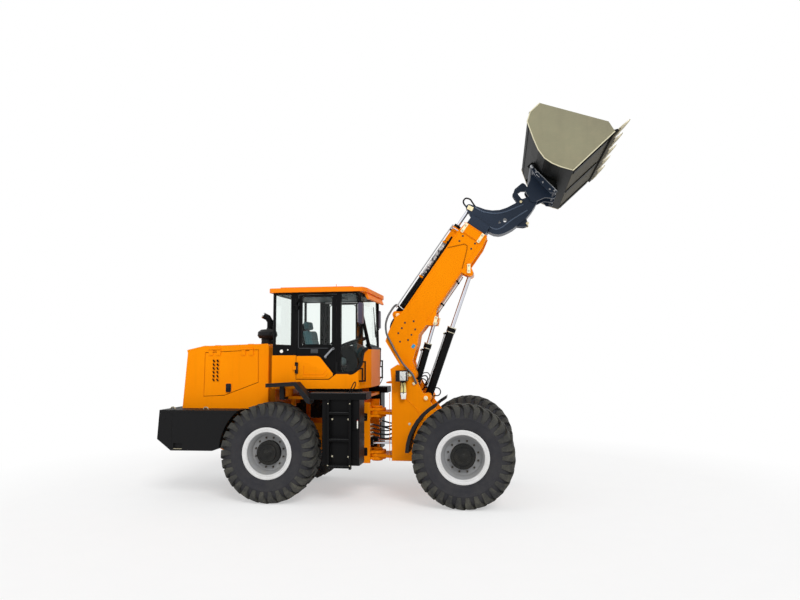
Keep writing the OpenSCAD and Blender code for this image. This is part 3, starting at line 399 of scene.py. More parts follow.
class NodeSheet:
    """A node tree with a short way to add and link nodes."""

    def __init__(self, tree: bpy.types.NodeTree) -> None:
        """Works on one tree."""
        self.tree = tree

    def put(self, value: Value, socket: bpy.types.NodeSocket) -> None:
        """Links an output to an input, or gives the input a plain value.

        Args:
            value: An output socket or a plain value.
            socket: The input.
        """
        if isinstance(value, bpy.types.NodeSocket):
            self.tree.links.new(value, socket)
        else:
            socket.default_value = value

    def add(self, kind: str, inputs: Optional[dict] = None, **settings) -> bpy.types.Node:
        """Adds a node.

        Args:
            kind: The node's type without its ShaderNode prefix.
            inputs: A value or an output socket for each input, by name or number.
            settings: Properties of the node.

        Returns:
            The node.
        """
        node = self.tree.nodes.new("ShaderNode" + kind)
        for key, value in settings.items():
            setattr(node, key, value)
        for key, value in (inputs or {}).items():
            self.put(value, node.inputs[key])
        return node

    def math(self, operation: str, *values: Value) -> bpy.types.NodeSocket:
        """Adds a Math node and returns its output."""
        return self.add("Math", dict(enumerate(values)), operation=operation).outputs[0]

    def noise(self, vector: bpy.types.NodeSocket, scale: Value, detail: float = 3.0,
              rough: float = 0.55) -> bpy.types.NodeSocket:
        """Adds a noise texture and returns its value."""
        return self.add("TexNoise", {"Vector": vector, "Scale": scale, "Detail": detail,
                                     "Roughness": rough}).outputs["Fac"]

    def remap(self, value: Value, low: float, high: float, to_low: float = 0.0,
              to_high: float = 1.0) -> bpy.types.NodeSocket:
        """Adds a Map Range node, which clamps, and returns its result."""
        return self.add("MapRange", {"Value": value, "From Min": low, "From Max": high,
                                     "To Min": to_low, "To Max": to_high}).outputs["Result"]

    def blend(self, share: Value, first: Value, second: Value) -> bpy.types.NodeSocket:
        """Adds a colour mix and returns its result.

        Args:
            share: How much of the second colour shows.
            first: The first colour.
            second: The second colour.

        Returns:
            The mixed colour.
        """
        node = self.add("Mix", data_type="RGBA", blend_type="MIX")
        self.put(share, node.inputs["Factor"])
        self.put(first, node.inputs[6])
        self.put(second, node.inputs[7])
        return node.outputs[2]


class Effect(Enum):
    """The shader effects that several finishes share."""

    GRAIN = "fine_grain"
    DRIFT = "colour_drift"
    DUST = "settled_dust"
    WEAR = "edge_wear"
    STREAKS = "run_marks"
    SCUFFS = "scuffs"


class EffectLibrary:
    """Builds each shared effect once, as a node group."""

    def __init__(self) -> None:
        """Builds them all."""
        self.trees = {
            Effect.GRAIN: self._grain(), Effect.DRIFT: self._drift(),
            Effect.DUST: self._dust(), Effect.WEAR: self._wear(),
            Effect.STREAKS: self._streaks(), Effect.SCUFFS: self._scuffs(),
        }

    @staticmethod
    def _open(effect: Effect, floats: dict[str, float], colours: Sequence[str], out: str,
              colour_out: bool = False) -> tuple[NodeSheet, Sockets, Sockets]:
        """Opens a node group.

        Args:
            effect: Which effect it is.
            floats: Its number inputs and their defaults.
            colours: Its colour inputs.
            out: The name of its output.
            colour_out: Whether that is a colour.

        Returns:
            Its sheet, what its inputs give by name, and what its output takes.
        """
        tree = bpy.data.node_groups.new(effect.value, "ShaderNodeTree")
        face = tree.interface
        face.new_socket(name="Coordinates", in_out="INPUT", socket_type="NodeSocketVector")
        for name, value in floats.items():
            face.new_socket(name=name, in_out="INPUT",
                            socket_type="NodeSocketFloat").default_value = value
        for name in colours:
            face.new_socket(name=name, in_out="INPUT", socket_type="NodeSocketColor")
        kind = "NodeSocketColor" if colour_out else "NodeSocketFloat"
        face.new_socket(name=out, in_out="OUTPUT", socket_type=kind)
        given = tree.nodes.new("NodeGroupInput").outputs
        return NodeSheet(tree), given, tree.nodes.new("NodeGroupOutput").inputs

    def _grain(self) -> bpy.types.NodeTree:
        """Returns the group for the fine unevenness of a sprayed or cast skin.

        Returns:
            The group.
        """
        sheet, given, out = self._open(Effect.GRAIN, {"Scale": 300.0, "Coarse": 0.3}, (),
                                       "Height")
        spot = given["Coordinates"]
        fine = sheet.noise(spot, given["Scale"], 2.0)
        wide = sheet.noise(spot, sheet.math("MULTIPLY", given["Scale"], 0.12), 3.0)
        heavy = sheet.math("MULTIPLY", wide, given["Coarse"])
        sheet.put(sheet.math("ADD", fine, heavy), out[0])
        return sheet.tree

    def _drift(self) -> bpy.types.NodeTree:
        """Returns the group for slow changes of a colour over a surface.

        Returns:
            The group.
        """
        sheet, given, out = self._open(Effect.DRIFT, {"Scale": 2.0, "Strength": 0.06},
                                       ("Base",), "Colour", True)
        slow = sheet.noise(given["Coordinates"], given["Scale"], 4.0)
        centred = sheet.math("SUBTRACT", slow, 0.5)
        swing = sheet.math("MULTIPLY", centred, given["Strength"])
        value = sheet.math("MULTIPLY_ADD", swing, 2.0, 1.0)
        hue = sheet.math("MULTIPLY_ADD", swing, 0.12, 0.5)
        shifted = sheet.add("HueSaturation", {"Hue": hue, "Value": value,
                                              "Color": given["Base"]})
        sheet.put(shifted.outputs[0], out[0])
        return sheet.tree

    def _dust(self) -> bpy.types.NodeTree:
        """Returns the group for dust that lies on ledges and rises from the ground.

        Returns:
            The group.
        """
        sheet, given, out = self._open(Effect.DUST,
                                       {"Level": 0.3, "Height": 0.8, "Ledges": 0.5}, (), "Mask")
        spot = given["Coordinates"]
        facing = sheet.add("SeparateXYZ", {0: sheet.add("NewGeometry").outputs["Normal"]})
        ledge = sheet.remap(facing.outputs["Z"], 0.35, 1.0)
        ledge = sheet.math("MULTIPLY", ledge, given["Ledges"])
        height = sheet.add("SeparateXYZ", {0: spot}).outputs["Z"]
        low = sheet.math("DIVIDE", height, given["Height"])
        low = sheet.remap(low, 0.0, 1.0, 1.0, 0.0)
        both = sheet.math("ADD", ledge, low)
        patch = sheet.remap(sheet.noise(spot, 7.0, 6.0, 0.65), 0.36, 0.68)
        speck = sheet.remap(sheet.noise(spot, 90.0, 2.0), 0.35, 0.6, 0.55, 1.0)
        mask = sheet.math("MULTIPLY", sheet.math("MULTIPLY", both, patch), speck)
        mask = sheet.add("Math", {0: mask, 1: given["Level"]}, operation="MULTIPLY",
                         use_clamp=True).outputs[0]
        sheet.put(mask, out[0])
        return sheet.tree

    def _wear(self) -> bpy.types.NodeTree:
        """Returns the group for paint rubbed off along edges, also used as a painted highlight
        along them.

        Returns:
            The group.
        """
        sheet, given, out = self._open(Effect.WEAR, {"Radius": 0.006, "Amount": 0.5}, (),
                                       "Mask")
        rounded = sheet.add("Bevel", {"Radius": given["Radius"]}, samples=4)
        plain = sheet.add("NewGeometry").outputs["Normal"]
        same = sheet.add("VectorMath", {0: rounded.outputs[0], 1: plain},
                         operation="DOT_PRODUCT")
        edge = sheet.remap(same.outputs["Value"], 0.86, 0.995, 1.0, 0.0)
        broken = sheet.remap(sheet.noise(given["Coordinates"], 24.0, 5.0, 0.7), 0.42, 0.62)
        mask = sheet.math("MULTIPLY", sheet.math("MULTIPLY", edge, broken), given["Amount"])
        sheet.put(mask, out[0])
        return sheet.tree

    def _streaks(self) -> bpy.types.NodeTree:
        """Returns the group for faint marks that run down a surface.

        Returns:
            The group.
        """
        sheet, given, out = self._open(Effect.STREAKS, {"Level": 0.2}, (), "Mask")
        tall = sheet.add("Mapping", {"Vector": given["Coordinates"],
                                     "Scale": (14.0, 14.0, 1.1)})
        run = sheet.remap(sheet.noise(tall.outputs[0], 1.0, 4.0, 0.6), 0.52, 0.74)
        sheet.put(sheet.math("MULTIPLY", run, given["Level"]), out[0])
        return sheet.tree

    def _scuffs(self) -> bpy.types.NodeTree:
        """Returns the group for scratches and rubbed patches of hard use.

        Returns:
            The group.
        """
        sheet, given, out = self._open(Effect.SCUFFS, {"Scale": 6.0, "Level": 0.5}, (), "Mask")
        spot = given["Coordinates"]
        patch = sheet.remap(sheet.noise(spot, given["Scale"], 6.0, 0.7), 0.48, 0.7)
        long = sheet.add("Mapping", {"Vector": spot, "Rotation": (0.2, 0.5, 0.0),
                                     "Scale": (9.0, 60.0, 110.0)})
        line = sheet.remap(sheet.noise(long.outputs[0], 1.0, 3.0, 0.6), 0.55, 0.66)
        total = sheet.math("MAXIMUM", patch, sheet.math("MULTIPLY", line, 0.7))
        sheet.put(sheet.math("MULTIPLY", total, given["Level"]), out[0])
        return sheet.tree


# ---------------------------------------------------------------- finishes

DUST_COLOUR: Colour = (150, 143, 122)
STEEL_COLOUR: Colour = (150, 150, 148)
WHITE = (1.0, 1.0, 1.0, 1.0)


def shade(colour: Colour) -> tuple[float, float, float, float]:
    """Turns a display colour of 0 to 255 into a linear one with alpha.

    Args:
        colour: Red, green and blue.

    Returns:
        The linear colour, with an alpha of 1.
    """
    def linear(value: float) -> float:
        """Returns one channel made linear."""
        share = value / 255
        return share / 12.92 if share <= 0.04045 else ((share + 0.055) / 1.055) ** 2.4
    return (*[linear(c) for c in colour], 1.0)


def toned(colour: Colour, share: float) -> tuple[float, float, float, float]:
    """Turns a share of a display colour into a linear one with alpha."""
    return shade(tuple(c * share for c in colour))


class Skin:
    """A material under construction, with its main shader and the shared effects."""

    def __init__(self, name: str, effects: Optional[EffectLibrary] = None) -> None:
        """Starts a node material that reads the object's coordinates.

        Args:
            name: The material's name.
            effects: The library of shared effects, or None.
        """
        self.made = bpy.data.materials.new(name)
        self.made.use_nodes = True
        self.effects = effects
        self.sheet = NodeSheet(self.made.node_tree)
        self.shader = self.made.node_tree.nodes["Principled BSDF"]
        self.spot = self.sheet.add("TexCoord").outputs["Object"]

    def effect(self, effect: Effect, spot: Optional[bpy.types.NodeSocket] = None,
               **inputs: Value) -> bpy.types.NodeSocket:
        """Places a shared effect.

        Args:
            effect: Which effect.
            spot: Its coordinates, or None for the object's.
            inputs: Its other values or links.

        Returns:
            The effect's output.
        """
        node = self.sheet.tree.nodes.new("ShaderNodeGroup")
        node.node_tree = self.effects.trees[effect]
        self.sheet.put(self.spot if spot is None else spot, node.inputs["Coordinates"])
        for key, value in inputs.items():
            self.sheet.put(value, node.inputs[key])
        return node.outputs[0]

    def feed(self, **inputs: Value) -> None:
        """Feeds the main shader's inputs, with an underscore for each space in a name."""
        for key, value in inputs.items():
            self.sheet.put(value, self.shader.inputs[key.replace("_", " ")])

    def bump(self, height: bpy.types.NodeSocket, depth: float) -> None:
        """Drives the main shader's normal from a height of some metres."""
        node = self.sheet.add("Bump", {"Strength": 1.0, "Distance": depth, "Height": height})
        self.feed(Normal=node.outputs["Normal"])

    def cover(self, surface: bpy.types.NodeSocket) -> None:
        """Shows a mix of shaders in the place of the main one."""
        self.sheet.put(surface, self.sheet.tree.nodes["Material Output"].inputs["Surface"])


@dataclass(frozen=True)
class Finish:
    """What every finish has: a name, and a way to dress a material."""

    name: str

    def material(self, effects: EffectLibrary) -> bpy.types.Material:
        """Returns the finished material.

        Args:
            effects: The library of shared effects.

        Returns:
            The material.
        """
        skin = Skin(self.name, effects)
        self.dress(skin)
        return skin.made

    def dress(self, skin: Skin) -> None:
        """Gives a material this finish; each kind of finish has its own way.

        Args:
            skin: The material to dress.
        """
        raise NotImplementedError(self.name)


@dataclass(frozen=True)
class Paint(Finish):
    """A sprayed finish with drift, dust, run marks and worn edges, whose lighter edges are partly
    painted highlights.
    """

    colour: Colour
    rough: float = 0.34
    coat: float = 0.0
    gloss: float = 0.12
    drift: float = 0.05
    drift_scale: float = 1.7
    dust: float = 0.25
    dust_height: float = 0.7
    ledges: float = 0.5
    dust_colour: Colour = DUST_COLOUR
    wear: float = 0.35
    wear_and_highlight_colour: Colour = STEEL_COLOUR
    streaks: float = 0.08
    grain: float = 320.0
    grain_depth: float = 0.0002
    scuffs: float = 0.0

    def dress(self, skin: Skin) -> None:
        """Lays the colour, then runs, edges lightened as wear and as painted highlights, dust and
        the sprayed grain over it.

        Args:
            skin: The material to dress.
        """
        sheet = skin.sheet
        base = skin.effect(Effect.DRIFT, Scale=self.drift_scale, Strength=self.drift,
                           Base=shade(self.colour))
        runs = skin.effect(Effect.STREAKS, Level=self.streaks)
        base = sheet.blend(runs, base, toned(self.colour, 0.62))
        # Lighter colour along edges: wear, and a painted edge highlight.
        wear = skin.effect(Effect.WEAR, Radius=0.007, Amount=self.wear)
        if self.scuffs > 0:
            wear = sheet.math("MAXIMUM", wear, skin.effect(Effect.SCUFFS, Level=self.scuffs))
        base = sheet.blend(wear, base, shade(self.wear_and_highlight_colour))
        dust = skin.effect(Effect.DUST, Level=self.dust, Height=self.dust_height,
                           Ledges=self.ledges)
        base = sheet.blend(dust, base, shade(self.dust_colour))
        rough = sheet.math("MULTIPLY_ADD", dust, 0.5, self.rough)
        skin.feed(Base_Color=base, Specular_IOR_Level=self.gloss,
                  Roughness=sheet.math("MULTIPLY_ADD", runs, 0.3, rough),
                  Coat_Weight=sheet.remap(dust, 0.0, 0.4, self.coat, 0.0), Coat_Roughness=0.12)
        skin.bump(skin.effect(Effect.GRAIN, Scale=self.grain, Coarse=0.5), self.grain_depth)


@dataclass(frozen=True)
class Metal(Finish):
    """Bare, plated or cast metal with fine grain and soiling."""

    colour: Colour
    rough: float = 0.25
    metallic: float = 1.0
    soil: float = 0.2
    soil_colour: Colour = (70, 66, 58)
    brushed: tuple[float, float, float] = (30.0, 30.0, 30.0)
    grain_depth: float = 0.0004
    edge_reflection: float = 0.0
    edge_reflection_colour: Colour = (14, 13, 20)

    def dress(self, skin: Skin) -> None:
        """Lays the metal, its soil and, on a bright rod, a painted dark reflection towards its
        edges.

        Args:
            skin: The material to dress.
        """
        sheet = skin.sheet
        base = skin.effect(Effect.DRIFT, Scale=3.0, Strength=0.08, Base=shade(self.colour))
        soil = skin.effect(Effect.SCUFFS, Scale=9.0, Level=self.soil)
        base = sheet.blend(soil, base, shade(self.soil_colour))
        # Painted reflection: the base colour darkens where the surface turns away from the view,
        # as dark surroundings mirrored at a rod's edges.
        if self.edge_reflection > 0:
            turned = sheet.add("LayerWeight", {"Blend": 0.5}).outputs["Facing"]
            base = sheet.blend(sheet.remap(turned, 0.3, 0.62, 0.0, self.edge_reflection), base,
                               shade(self.edge_reflection_colour))
        skin.feed(Base_Color=base, Roughness=sheet.math("MULTIPLY_ADD", soil, 0.4, self.rough),
                  Metallic=sheet.remap(soil, 0.0, 1.0, self.metallic, self.metallic * 0.3))
        lines = sheet.add("Mapping", {"Vector": skin.spot, "Scale": self.brushed})
        grain = skin.effect(Effect.GRAIN, lines.outputs[0], Scale=12.0, Coarse=0.2)
        skin.bump(grain, self.grain_depth)


@dataclass(frozen=True)
class Rubber(Finish):
    """Tyre or hose rubber: matt, greyed and dusty."""

    colour: Colour
    dust_colour: Colour
    dust: float = 0.6
    dust_height: float = 3.0
    grain: float = 240.0
    grain_depth: float = 0.0008
    rough: float = 0.72
    gloss: float = 0.12

    def dress(self, skin: Skin) -> None:
        """Lays the rubber, its dust and a coarse grain.

        Args:
            skin: The material to dress.
        """
        base = skin.effect(Effect.DRIFT, Scale=5.0, Strength=0.16, Base=shade(self.colour))
        dust = skin.effect(Effect.DUST, Level=self.dust, Height=self.dust_height, Ledges=0.6)
        skin.feed(Base_Color=skin.sheet.blend(dust, base, shade(self.dust_colour)),
                  Specular_IOR_Level=self.gloss,
                  Roughness=skin.sheet.math("MULTIPLY_ADD", dust, 0.2, self.rough))
        skin.bump(skin.effect(Effect.GRAIN, Scale=self.grain, Coarse=0.8), self.grain_depth)


@dataclass(frozen=True)
class Pane(Finish):
    """Clear glass that shows what is behind it and mirrors more towards its edge-on view."""

    tint: Colour
    mirror: float = 0.012
    grazing: float = 0.1
    mirror_colour: Colour = (236, 242, 241)

    def dress(self, skin: Skin) -> None:
        """Mixes clear glass with a mirror that dust dulls.

        Args:
            skin: The material to dress.
        """
        sheet = skin.sheet
        dust = skin.effect(Effect.DUST, Level=0.25, Height=2.6, Ledges=0.2)
        skin.feed(Base_Color=shade(self.mirror_colour), Metallic=1.0,
                  Roughness=sheet.math("MULTIPLY_ADD", dust, 0.5, 0.03))
        clear = sheet.add("BsdfTransparent", {"Color": shade(self.tint)})
        facing = sheet.add("LayerWeight", {"Blend": 0.25}).outputs["Fresnel"]
        share = sheet.remap(facing, 0.0, 1.0, self.mirror, self.grazing)
        mixed = sheet.add("MixShader", {0: share, 1: clear.outputs[0],
                                        2: skin.shader.outputs[0]})
        skin.cover(mixed.outputs[0])


@dataclass(frozen=True)
class Moulded(Finish):
    """Moulded plastic with a fine pitted grain."""

    colour: Colour
    rough: float = 0.5
    gloss: float = 0.15
    grain: float = 900.0
    grain_depth: float = 0.0004
    dust: float = 0.2

    def dress(self, skin: Skin) -> None:
        """Lays the plastic, its dust and its pits.

        Args:
            skin: The material to dress.
        """
        sheet = skin.sheet
        base = skin.effect(Effect.DRIFT, Scale=6.0, Strength=0.05, Base=shade(self.colour))
        dust = skin.effect(Effect.DUST, Level=self.dust, Height=0.8, Ledges=0.5)
        skin.feed(Base_Color=sheet.blend(dust, base, shade(DUST_COLOUR)),
                  Specular_IOR_Level=self.gloss,
                  Roughness=sheet.math("MULTIPLY_ADD", dust, 0.4, self.rough))
        cells = sheet.add("TexVoronoi", {"Vector": skin.spot, "Scale": self.grain})
        skin.bump(cells.outputs["Distance"], self.grain_depth)


@dataclass(frozen=True)
class Ribbed(Finish):
    """A lens, a wound hose or a tread plate with a raised repeated pattern."""

    colour: Colour
    pitch: float
    rough: float = 0.2
    metallic: float = 0.0
    depth: float = 0.002

    def dress(self, skin: Skin) -> None:
        """Lays the colour, darker between the ribs as painted shade in the grooves, and raises
        them.

        Args:
            skin: The material to dress.
        """
        sheet = skin.sheet
        base = skin.effect(Effect.DRIFT, Scale=8.0, Strength=0.06, Base=shade(self.colour))
        split = sheet.add("SeparateXYZ", {0: skin.spot})
        waves = []
        for axis in ("X", "Y", "Z"):
            turn = sheet.math("MULTIPLY", split.outputs[axis], math.tau / self.pitch)
            waves.append(sheet.math("SINE", turn))
        product = sheet.math("MULTIPLY", waves[0], sheet.math("ADD", waves[1], waves[2]))
        height = sheet.remap(product, -1.0, 1.0)
        # Painted shade: the colour darkens in the grooves between the ribs.
        skin.feed(Base_Color=sheet.blend(sheet.remap(height, 0.0, 1.0, 0.35, 0.0), base,
                                         toned(self.colour, 0.6)),
                  Metallic=self.metallic,
                  Roughness=sheet.math("MULTIPLY_ADD", height, 0.15, self.rough))
        skin.bump(height, self.depth)


@dataclass(frozen=True)
class Cloth(Finish):
    """Woven seat cloth."""

    colour: Colour
    thread: float = 0.0022

    def dress(self, skin: Skin) -> None:
        """Weaves warp and weft, with some fuzz.

        Args:
            skin: The material to dress.
        """
        sheet = skin.sheet
        split = sheet.add("SeparateXYZ", {0: skin.spot})
        turn = math.tau / self.thread
        warp = sheet.math("SINE", sheet.math("MULTIPLY", split.outputs["Y"], turn))
        long = sheet.math("ADD", split.outputs["X"], split.outputs["Z"])
        weft = sheet.math("SINE", sheet.math("MULTIPLY", long, turn))
        weave = sheet.remap(sheet.math("MULTIPLY", warp, weft), -1.0, 1.0)
        base = skin.effect(Effect.DRIFT, Scale=9.0, Strength=0.12, Base=shade(self.colour))
        light = shade(tuple(min(255.0, c * 1.5 + 8) for c in self.colour))
        fuzz = sheet.noise(skin.spot, 500.0, 2.0)
        skin.feed(Base_Color=sheet.blend(sheet.remap(weave, 0.0, 1.0, 0.0, 0.5), base, light),
                  Sheen_Weight=0.3, Roughness=sheet.math("MULTIPLY_ADD", fuzz, 0.15, 0.8))
        skin.bump(sheet.math("ADD", weave, fuzz), 0.0006)


@dataclass(frozen=True)
class Mottled(Finish):
    """A crinkled film or wrap in two tones."""

    light: Colour
    dark: Colour
    rough: float = 0.3
    scale: float = 22.0

    def dress(self, skin: Skin) -> None:
        """Lays the two tones over the folds.

        Args:
            skin: The material to dress.
        """
        sheet = skin.sheet
        fold = sheet.noise(skin.spot, self.scale, 6.0, 0.7)
        share = sheet.remap(fold, 0.42, 0.58)
        base = sheet.blend(share, shade(self.dark), shade(self.light))
        skin.feed(Base_Color=skin.effect(Effect.DRIFT, Scale=12.0, Strength=0.2, Base=base),
                  Roughness=sheet.math("MULTIPLY_ADD", share, 0.25, self.rough))
        skin.bump(fold, 0.006)


class Palette:
    """Every finish of the machine, built once."""

    def __init__(self) -> None:
        """Builds the finishes."""
        effects = EffectLibrary()
        paint = {
            "orange": Paint("orange_enamel", (241, 137, 2), rough=0.4, wear=0.06, gloss=0.03,
                            dust_colour=(196, 150, 84), dust=0.16),
            "roof_orange": Paint("roof_enamel", (248, 132, 22), rough=0.42, wear=0.06, gloss=0.03,
                                 dust_colour=(230, 170, 120), dust=0.12, dust_height=0.5),
            # Darker orange: painted shade, for the shadowed recess by the cab and the shadow
            # beside the boom's doubler plates.
            "shadow_orange": Paint("painted_shade_enamel", (158, 90, 4), rough=0.5, dust=0.1, gloss=0.03,
                                   wear=0.05),
            "black": Paint("black_enamel", (15, 15, 16), rough=0.4, gloss=0.06, wear=0.14,
                           wear_and_highlight_colour=(96, 94, 88), dust=0.12, dust_colour=(96, 92, 82)),
            "cast": Paint("cast_skin", (22, 22, 23), rough=0.5, gloss=0.1, coat=0.0, wear=0.1,
                          wear_and_highlight_colour=(90, 88, 84), grain=120.0, grain_depth=0.0015, dust=0.1,
                          ledges=0.6, dust_colour=(104, 100, 92)),
            # Lighter slate for the head's ribs: painted highlight along the raised edges.
            "slate_edge": Paint("slate_rib_highlight", (72, 86, 106), rough=0.32, wear=0.1, gloss=0.3),
            "slate": Paint("slate_enamel", (35, 46, 62), rough=0.34, wear=0.14, gloss=0.2,
                           wear_and_highlight_colour=(110, 116, 124), dust_colour=(90, 96, 100), dust=0.12),
            "bucket_edge": Paint("bucket_weld", (218, 212, 182), rough=0.45, wear=0.1, drift=0.1),
            "bucket_back": Paint("bucket_enamel", (11, 13, 13), rough=0.5, wear=0.2, scuffs=0.06,
                                 gloss=0.08, wear_and_highlight_colour=(84, 80, 66), dust_colour=(70, 68, 58),
                                 dust=0.1),
            "bucket_side": Paint("bucket_flank", (131, 127, 103), rough=0.45, wear=0.2, scuffs=0.3,
                                 gloss=0.25, wear_and_highlight_colour=(154, 144, 116), drift=0.34,
                                 drift_scale=0.9),
            # Darker khaki: the flanks' paint in painted shade, for the bucket's underside, with
            # real wear and scuffs.
            "bucket_under": Paint("bucket_floor", (66, 61, 46), rough=0.55, wear=0.15, scuffs=0.2,
                                  gloss=0.08, wear_and_highlight_colour=(84, 78, 60), drift=0.2),
            "bucket_inside": Paint("bucket_lining", (170, 165, 140), rough=0.6, wear=0.2,
                                   scuffs=0.3, wear_and_highlight_colour=(196, 190, 166), drift=0.1),
            "cream": Paint("cream_zinc", (250, 236, 192), rough=0.4, wear=0.1, dust=0.1,
                           grain=500.0),
            "rim": Paint("rim_silver_coat", (212, 212, 212), rough=0.38, coat=0.2, dust=0.3,
                         dust_height=1.6, ledges=0.2, wear=0.1, wear_and_highlight_colour=(120, 116, 106)),
            # Darker grey than the rim's silver: painted shade for the wheel disc and the rim's
            # inner face, which lie in the rim's shadow.
            "disc": Paint("rim_disc_coat", (140, 141, 143), rough=0.42, coat=0.2, dust=0.3,
                          dust_height=1.6, ledges=0.2, wear=0.1, wear_and_highlight_colour=(90, 88, 82)),
            "hub": Paint("hub_skin", (17, 18, 19), rough=0.34, coat=0.1, gloss=0.15, dust=0.1,
                         dust_height=1.4, wear=0.2, wear_and_highlight_colour=(80, 80, 78), grain=150.0,
                         grain_depth=0.001),
            "label": Paint("blue_plate", (52, 150, 196), rough=0.4, wear=0.0, dust=0.1),
            "handle": Paint("handle_grey", (150, 152, 156), rough=0.35, wear=0.3),
        }
        metal = {
            # Chrome rods get the painted dark reflection along their edges.
            "chrome": Metal("hard_chrome", (214, 216, 224), rough=0.12, soil=0.05,
                            grain_depth=0.0001, edge_reflection=0.92),
            "pipe": Metal("zinc_pipe", (178, 180, 182), rough=0.34, soil=0.25),
            "steel": Metal("worn_steel", (168, 160, 136), rough=0.42, metallic=0.7, soil=0.35,
                           soil_colour=(84, 80, 66)),
            "bolt": Metal("blackened_bolt", (62, 54, 44), rough=0.5, metallic=0.5, soil=0.3),
            "zinc": Metal("zinc_bolt", (196, 190, 168), rough=0.35, metallic=0.8, soil=0.25),
            "mirror": Metal("mirror_silver", (232, 236, 240), rough=0.03, soil=0.03,
                            grain_depth=0.00002),
        }
        other = {
            "tyre": Rubber("tyre_side", (46, 46, 50), (84, 82, 78), dust=0.3),
            "tread": Rubber("tyre_tread", (48, 48, 49), (112, 110, 96), dust=0.5, grain=120.0),
            "hose": Rubber("hose_rubber", (17, 17, 18), (60, 58, 54), dust=0.2, dust_height=0.6,
                           rough=0.45),
            "seal": Rubber("seal_rubber", (14, 14, 15), (50, 50, 48), dust=0.1, dust_height=0.6,
                           rough=0.5),
            "plastic": Moulded("black_grained_plastic", (24, 24, 26), rough=0.5, dust=0.12),
            "trim": Moulded("teal_grey_trim", (50, 68, 72), rough=0.55),
            "edge": Moulded("grey_edge", (66, 68, 71), rough=0.45),
            "steel_hose": Ribbed("wound_hose", (96, 97, 99), 0.012, rough=0.35, metallic=0.4,
                                 depth=0.001),
            # Near black for openings: painted shade standing in for the dark inside the louvre
            # slots and the exhaust pipe.
            "dark": Moulded("painted_shade_black", (9, 9, 10), rough=0.8, dust=0.0, gloss=0.05),
            "red": Moulded("red_lens", (176, 20, 16), rough=0.18, gloss=0.5),
            "amber": Moulded("amber_lens", (240, 222, 140), rough=0.22, gloss=0.5),
            "reflector": Moulded("white_reflector", (240, 240, 232), rough=0.3),
            "lens": Ribbed("lamp_lens", (214, 216, 212), 0.018, rough=0.12, metallic=0.3),
            "grip": Ribbed("tread_plate", (52, 53, 54), 0.045, rough=0.4, metallic=0.4,
                           depth=0.003),
            "glass": Pane("cab_pane", (252, 254, 253)),
            "cloth": Cloth("seat_weave", (58, 92, 98)),
            "wrap": Mottled("film_wrap", (228, 224, 222), (34, 32, 44)),
            "shell": Moulded("mirror_shell", (72, 66, 82), rough=0.4),
        }
        self.finishes = {key: maker.material(effects)
                         for key, maker in {**paint, **metal, **other}.items()}

    def __getitem__(self, key: str) -> bpy.types.Material:
        """Returns a finish by its plain name."""
        return self.finishes[key]


# ---------------------------------------------------------------- the workshop

def placed(name: str, data: bpy.types.ID) -> bpy.types.Object:
    """Returns a new object of the scene that holds some data.

    Args:
        name: The object's name.
        data: What it holds, such as a mesh or a camera.

    Returns:
        The object.
    """
    made = bpy.data.objects.new(name, data)
    bpy.context.scene.collection.objects.link(made)
    return made


@dataclass
class Workshop:
    """What every sub-assembly needs: the finishes, and a place to hand its pieces in."""

    palette: Palette
    made: list[str] = field(default_factory=list)

    def piece(self, name: str, shape: Union[Shape, bpy.types.Mesh], finish: str, body: str,
              slot: Optional[str] = None, replaces: Sequence[str] = (),
              sharp: float = 35.0) -> bpy.types.Object:
        """Hands in one piece.

        Args:
            name: Its name.
            shape: The shape or finished mesh.
            finish: The plain name of its finish.
            body: The body it moves with.
            slot: Not used.
            replaces: The nodes it stands for.
            sharp: The angle past which its edges are sharp.

        Returns:
            The piece's object.
        """
        mesh = shape.as_mesh(name, sharp) if isinstance(shape, Shape) else shape
        mesh.materials.clear()
        mesh.materials.append(self.palette[finish])
        made = placed(name, mesh)
        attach(made, body)
        if replaces:
            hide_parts(*replaces)
        self.made.append(name)
        LOG.info("piece %s on %s, %d faces", name, body, len(mesh.polygons))
        return made

    def hose(self, name: str, points: Sequence[Point], radius: float, view: Frame, body: str,
             bend_to: Optional[str] = None, finish: str = "hose",
             bend_from: float = 0.0) -> bpy.types.Object:
        """Hands in a hose that hangs between two fittings.

        Args:
            name: Its name.
            points: The corners that it runs through, in the view's millimetres.
            radius: Its radius.
            view: The view of its points.
            body: The body it moves with, when no second body is given.
            bend_to: A second body; when one is given, the hose stays fixed in the scene, on
                neither body.
            finish: The plain name of its finish.
            bend_from: Not used.

        Returns:
            The hose's object.
        """
        line = smoothed(points)
        shape = Shape(view).tube(line, radius, 10)
        mesh = shape.as_mesh(name)
        mesh.materials.append(self.palette[finish])
        made = placed(name, mesh)
        if bend_to:
            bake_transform(made)
        else:
            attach(made, body)
        self.made.append(name)
        return made


@dataclass
class CarriedOver:
    """The CAD nodes whose shape stays, each with a better finish."""

    shop: Workshop
    by_slot: dict[str, str] = field(default_factory=lambda: {
        "orange_paint": "orange", "black_paint": "black", "cast_black": "cast",
        "slate_paint": "slate", "bucket_paint": "bucket_side", "tooth_steel": "steel",
        "tyre_rubber": "tyre", "rim_silver": "rim", "rod_chrome": "chrome", "pipe_steel": "pipe",
        "safety_glass": "glass", "seat_cloth": "cloth", "black_plastic": "plastic",
        "lamp_plastic": "plastic"})
    # boom_pipes take black paint instead of zinc: painted shade for the shadow they lie in.
    by_node: dict[str, str] = field(default_factory=lambda: {
        "cab_roof": "roof_orange", "bucket_shell": "bucket_back", "front_fenders": "plastic",
        "rear_fenders": "plastic", "boom_pipes": "black"})

    def dress(self) -> None:
        """Gives every node its finish."""
        for name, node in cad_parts.items():
            for slot in node.material_slots:
                plain = slot.material.name.split(".")[0]
                slot.material = self.shop.palette[self.by_node.get(name, self.by_slot[plain])]
        LOG.info("dressed %d nodes", len(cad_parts))


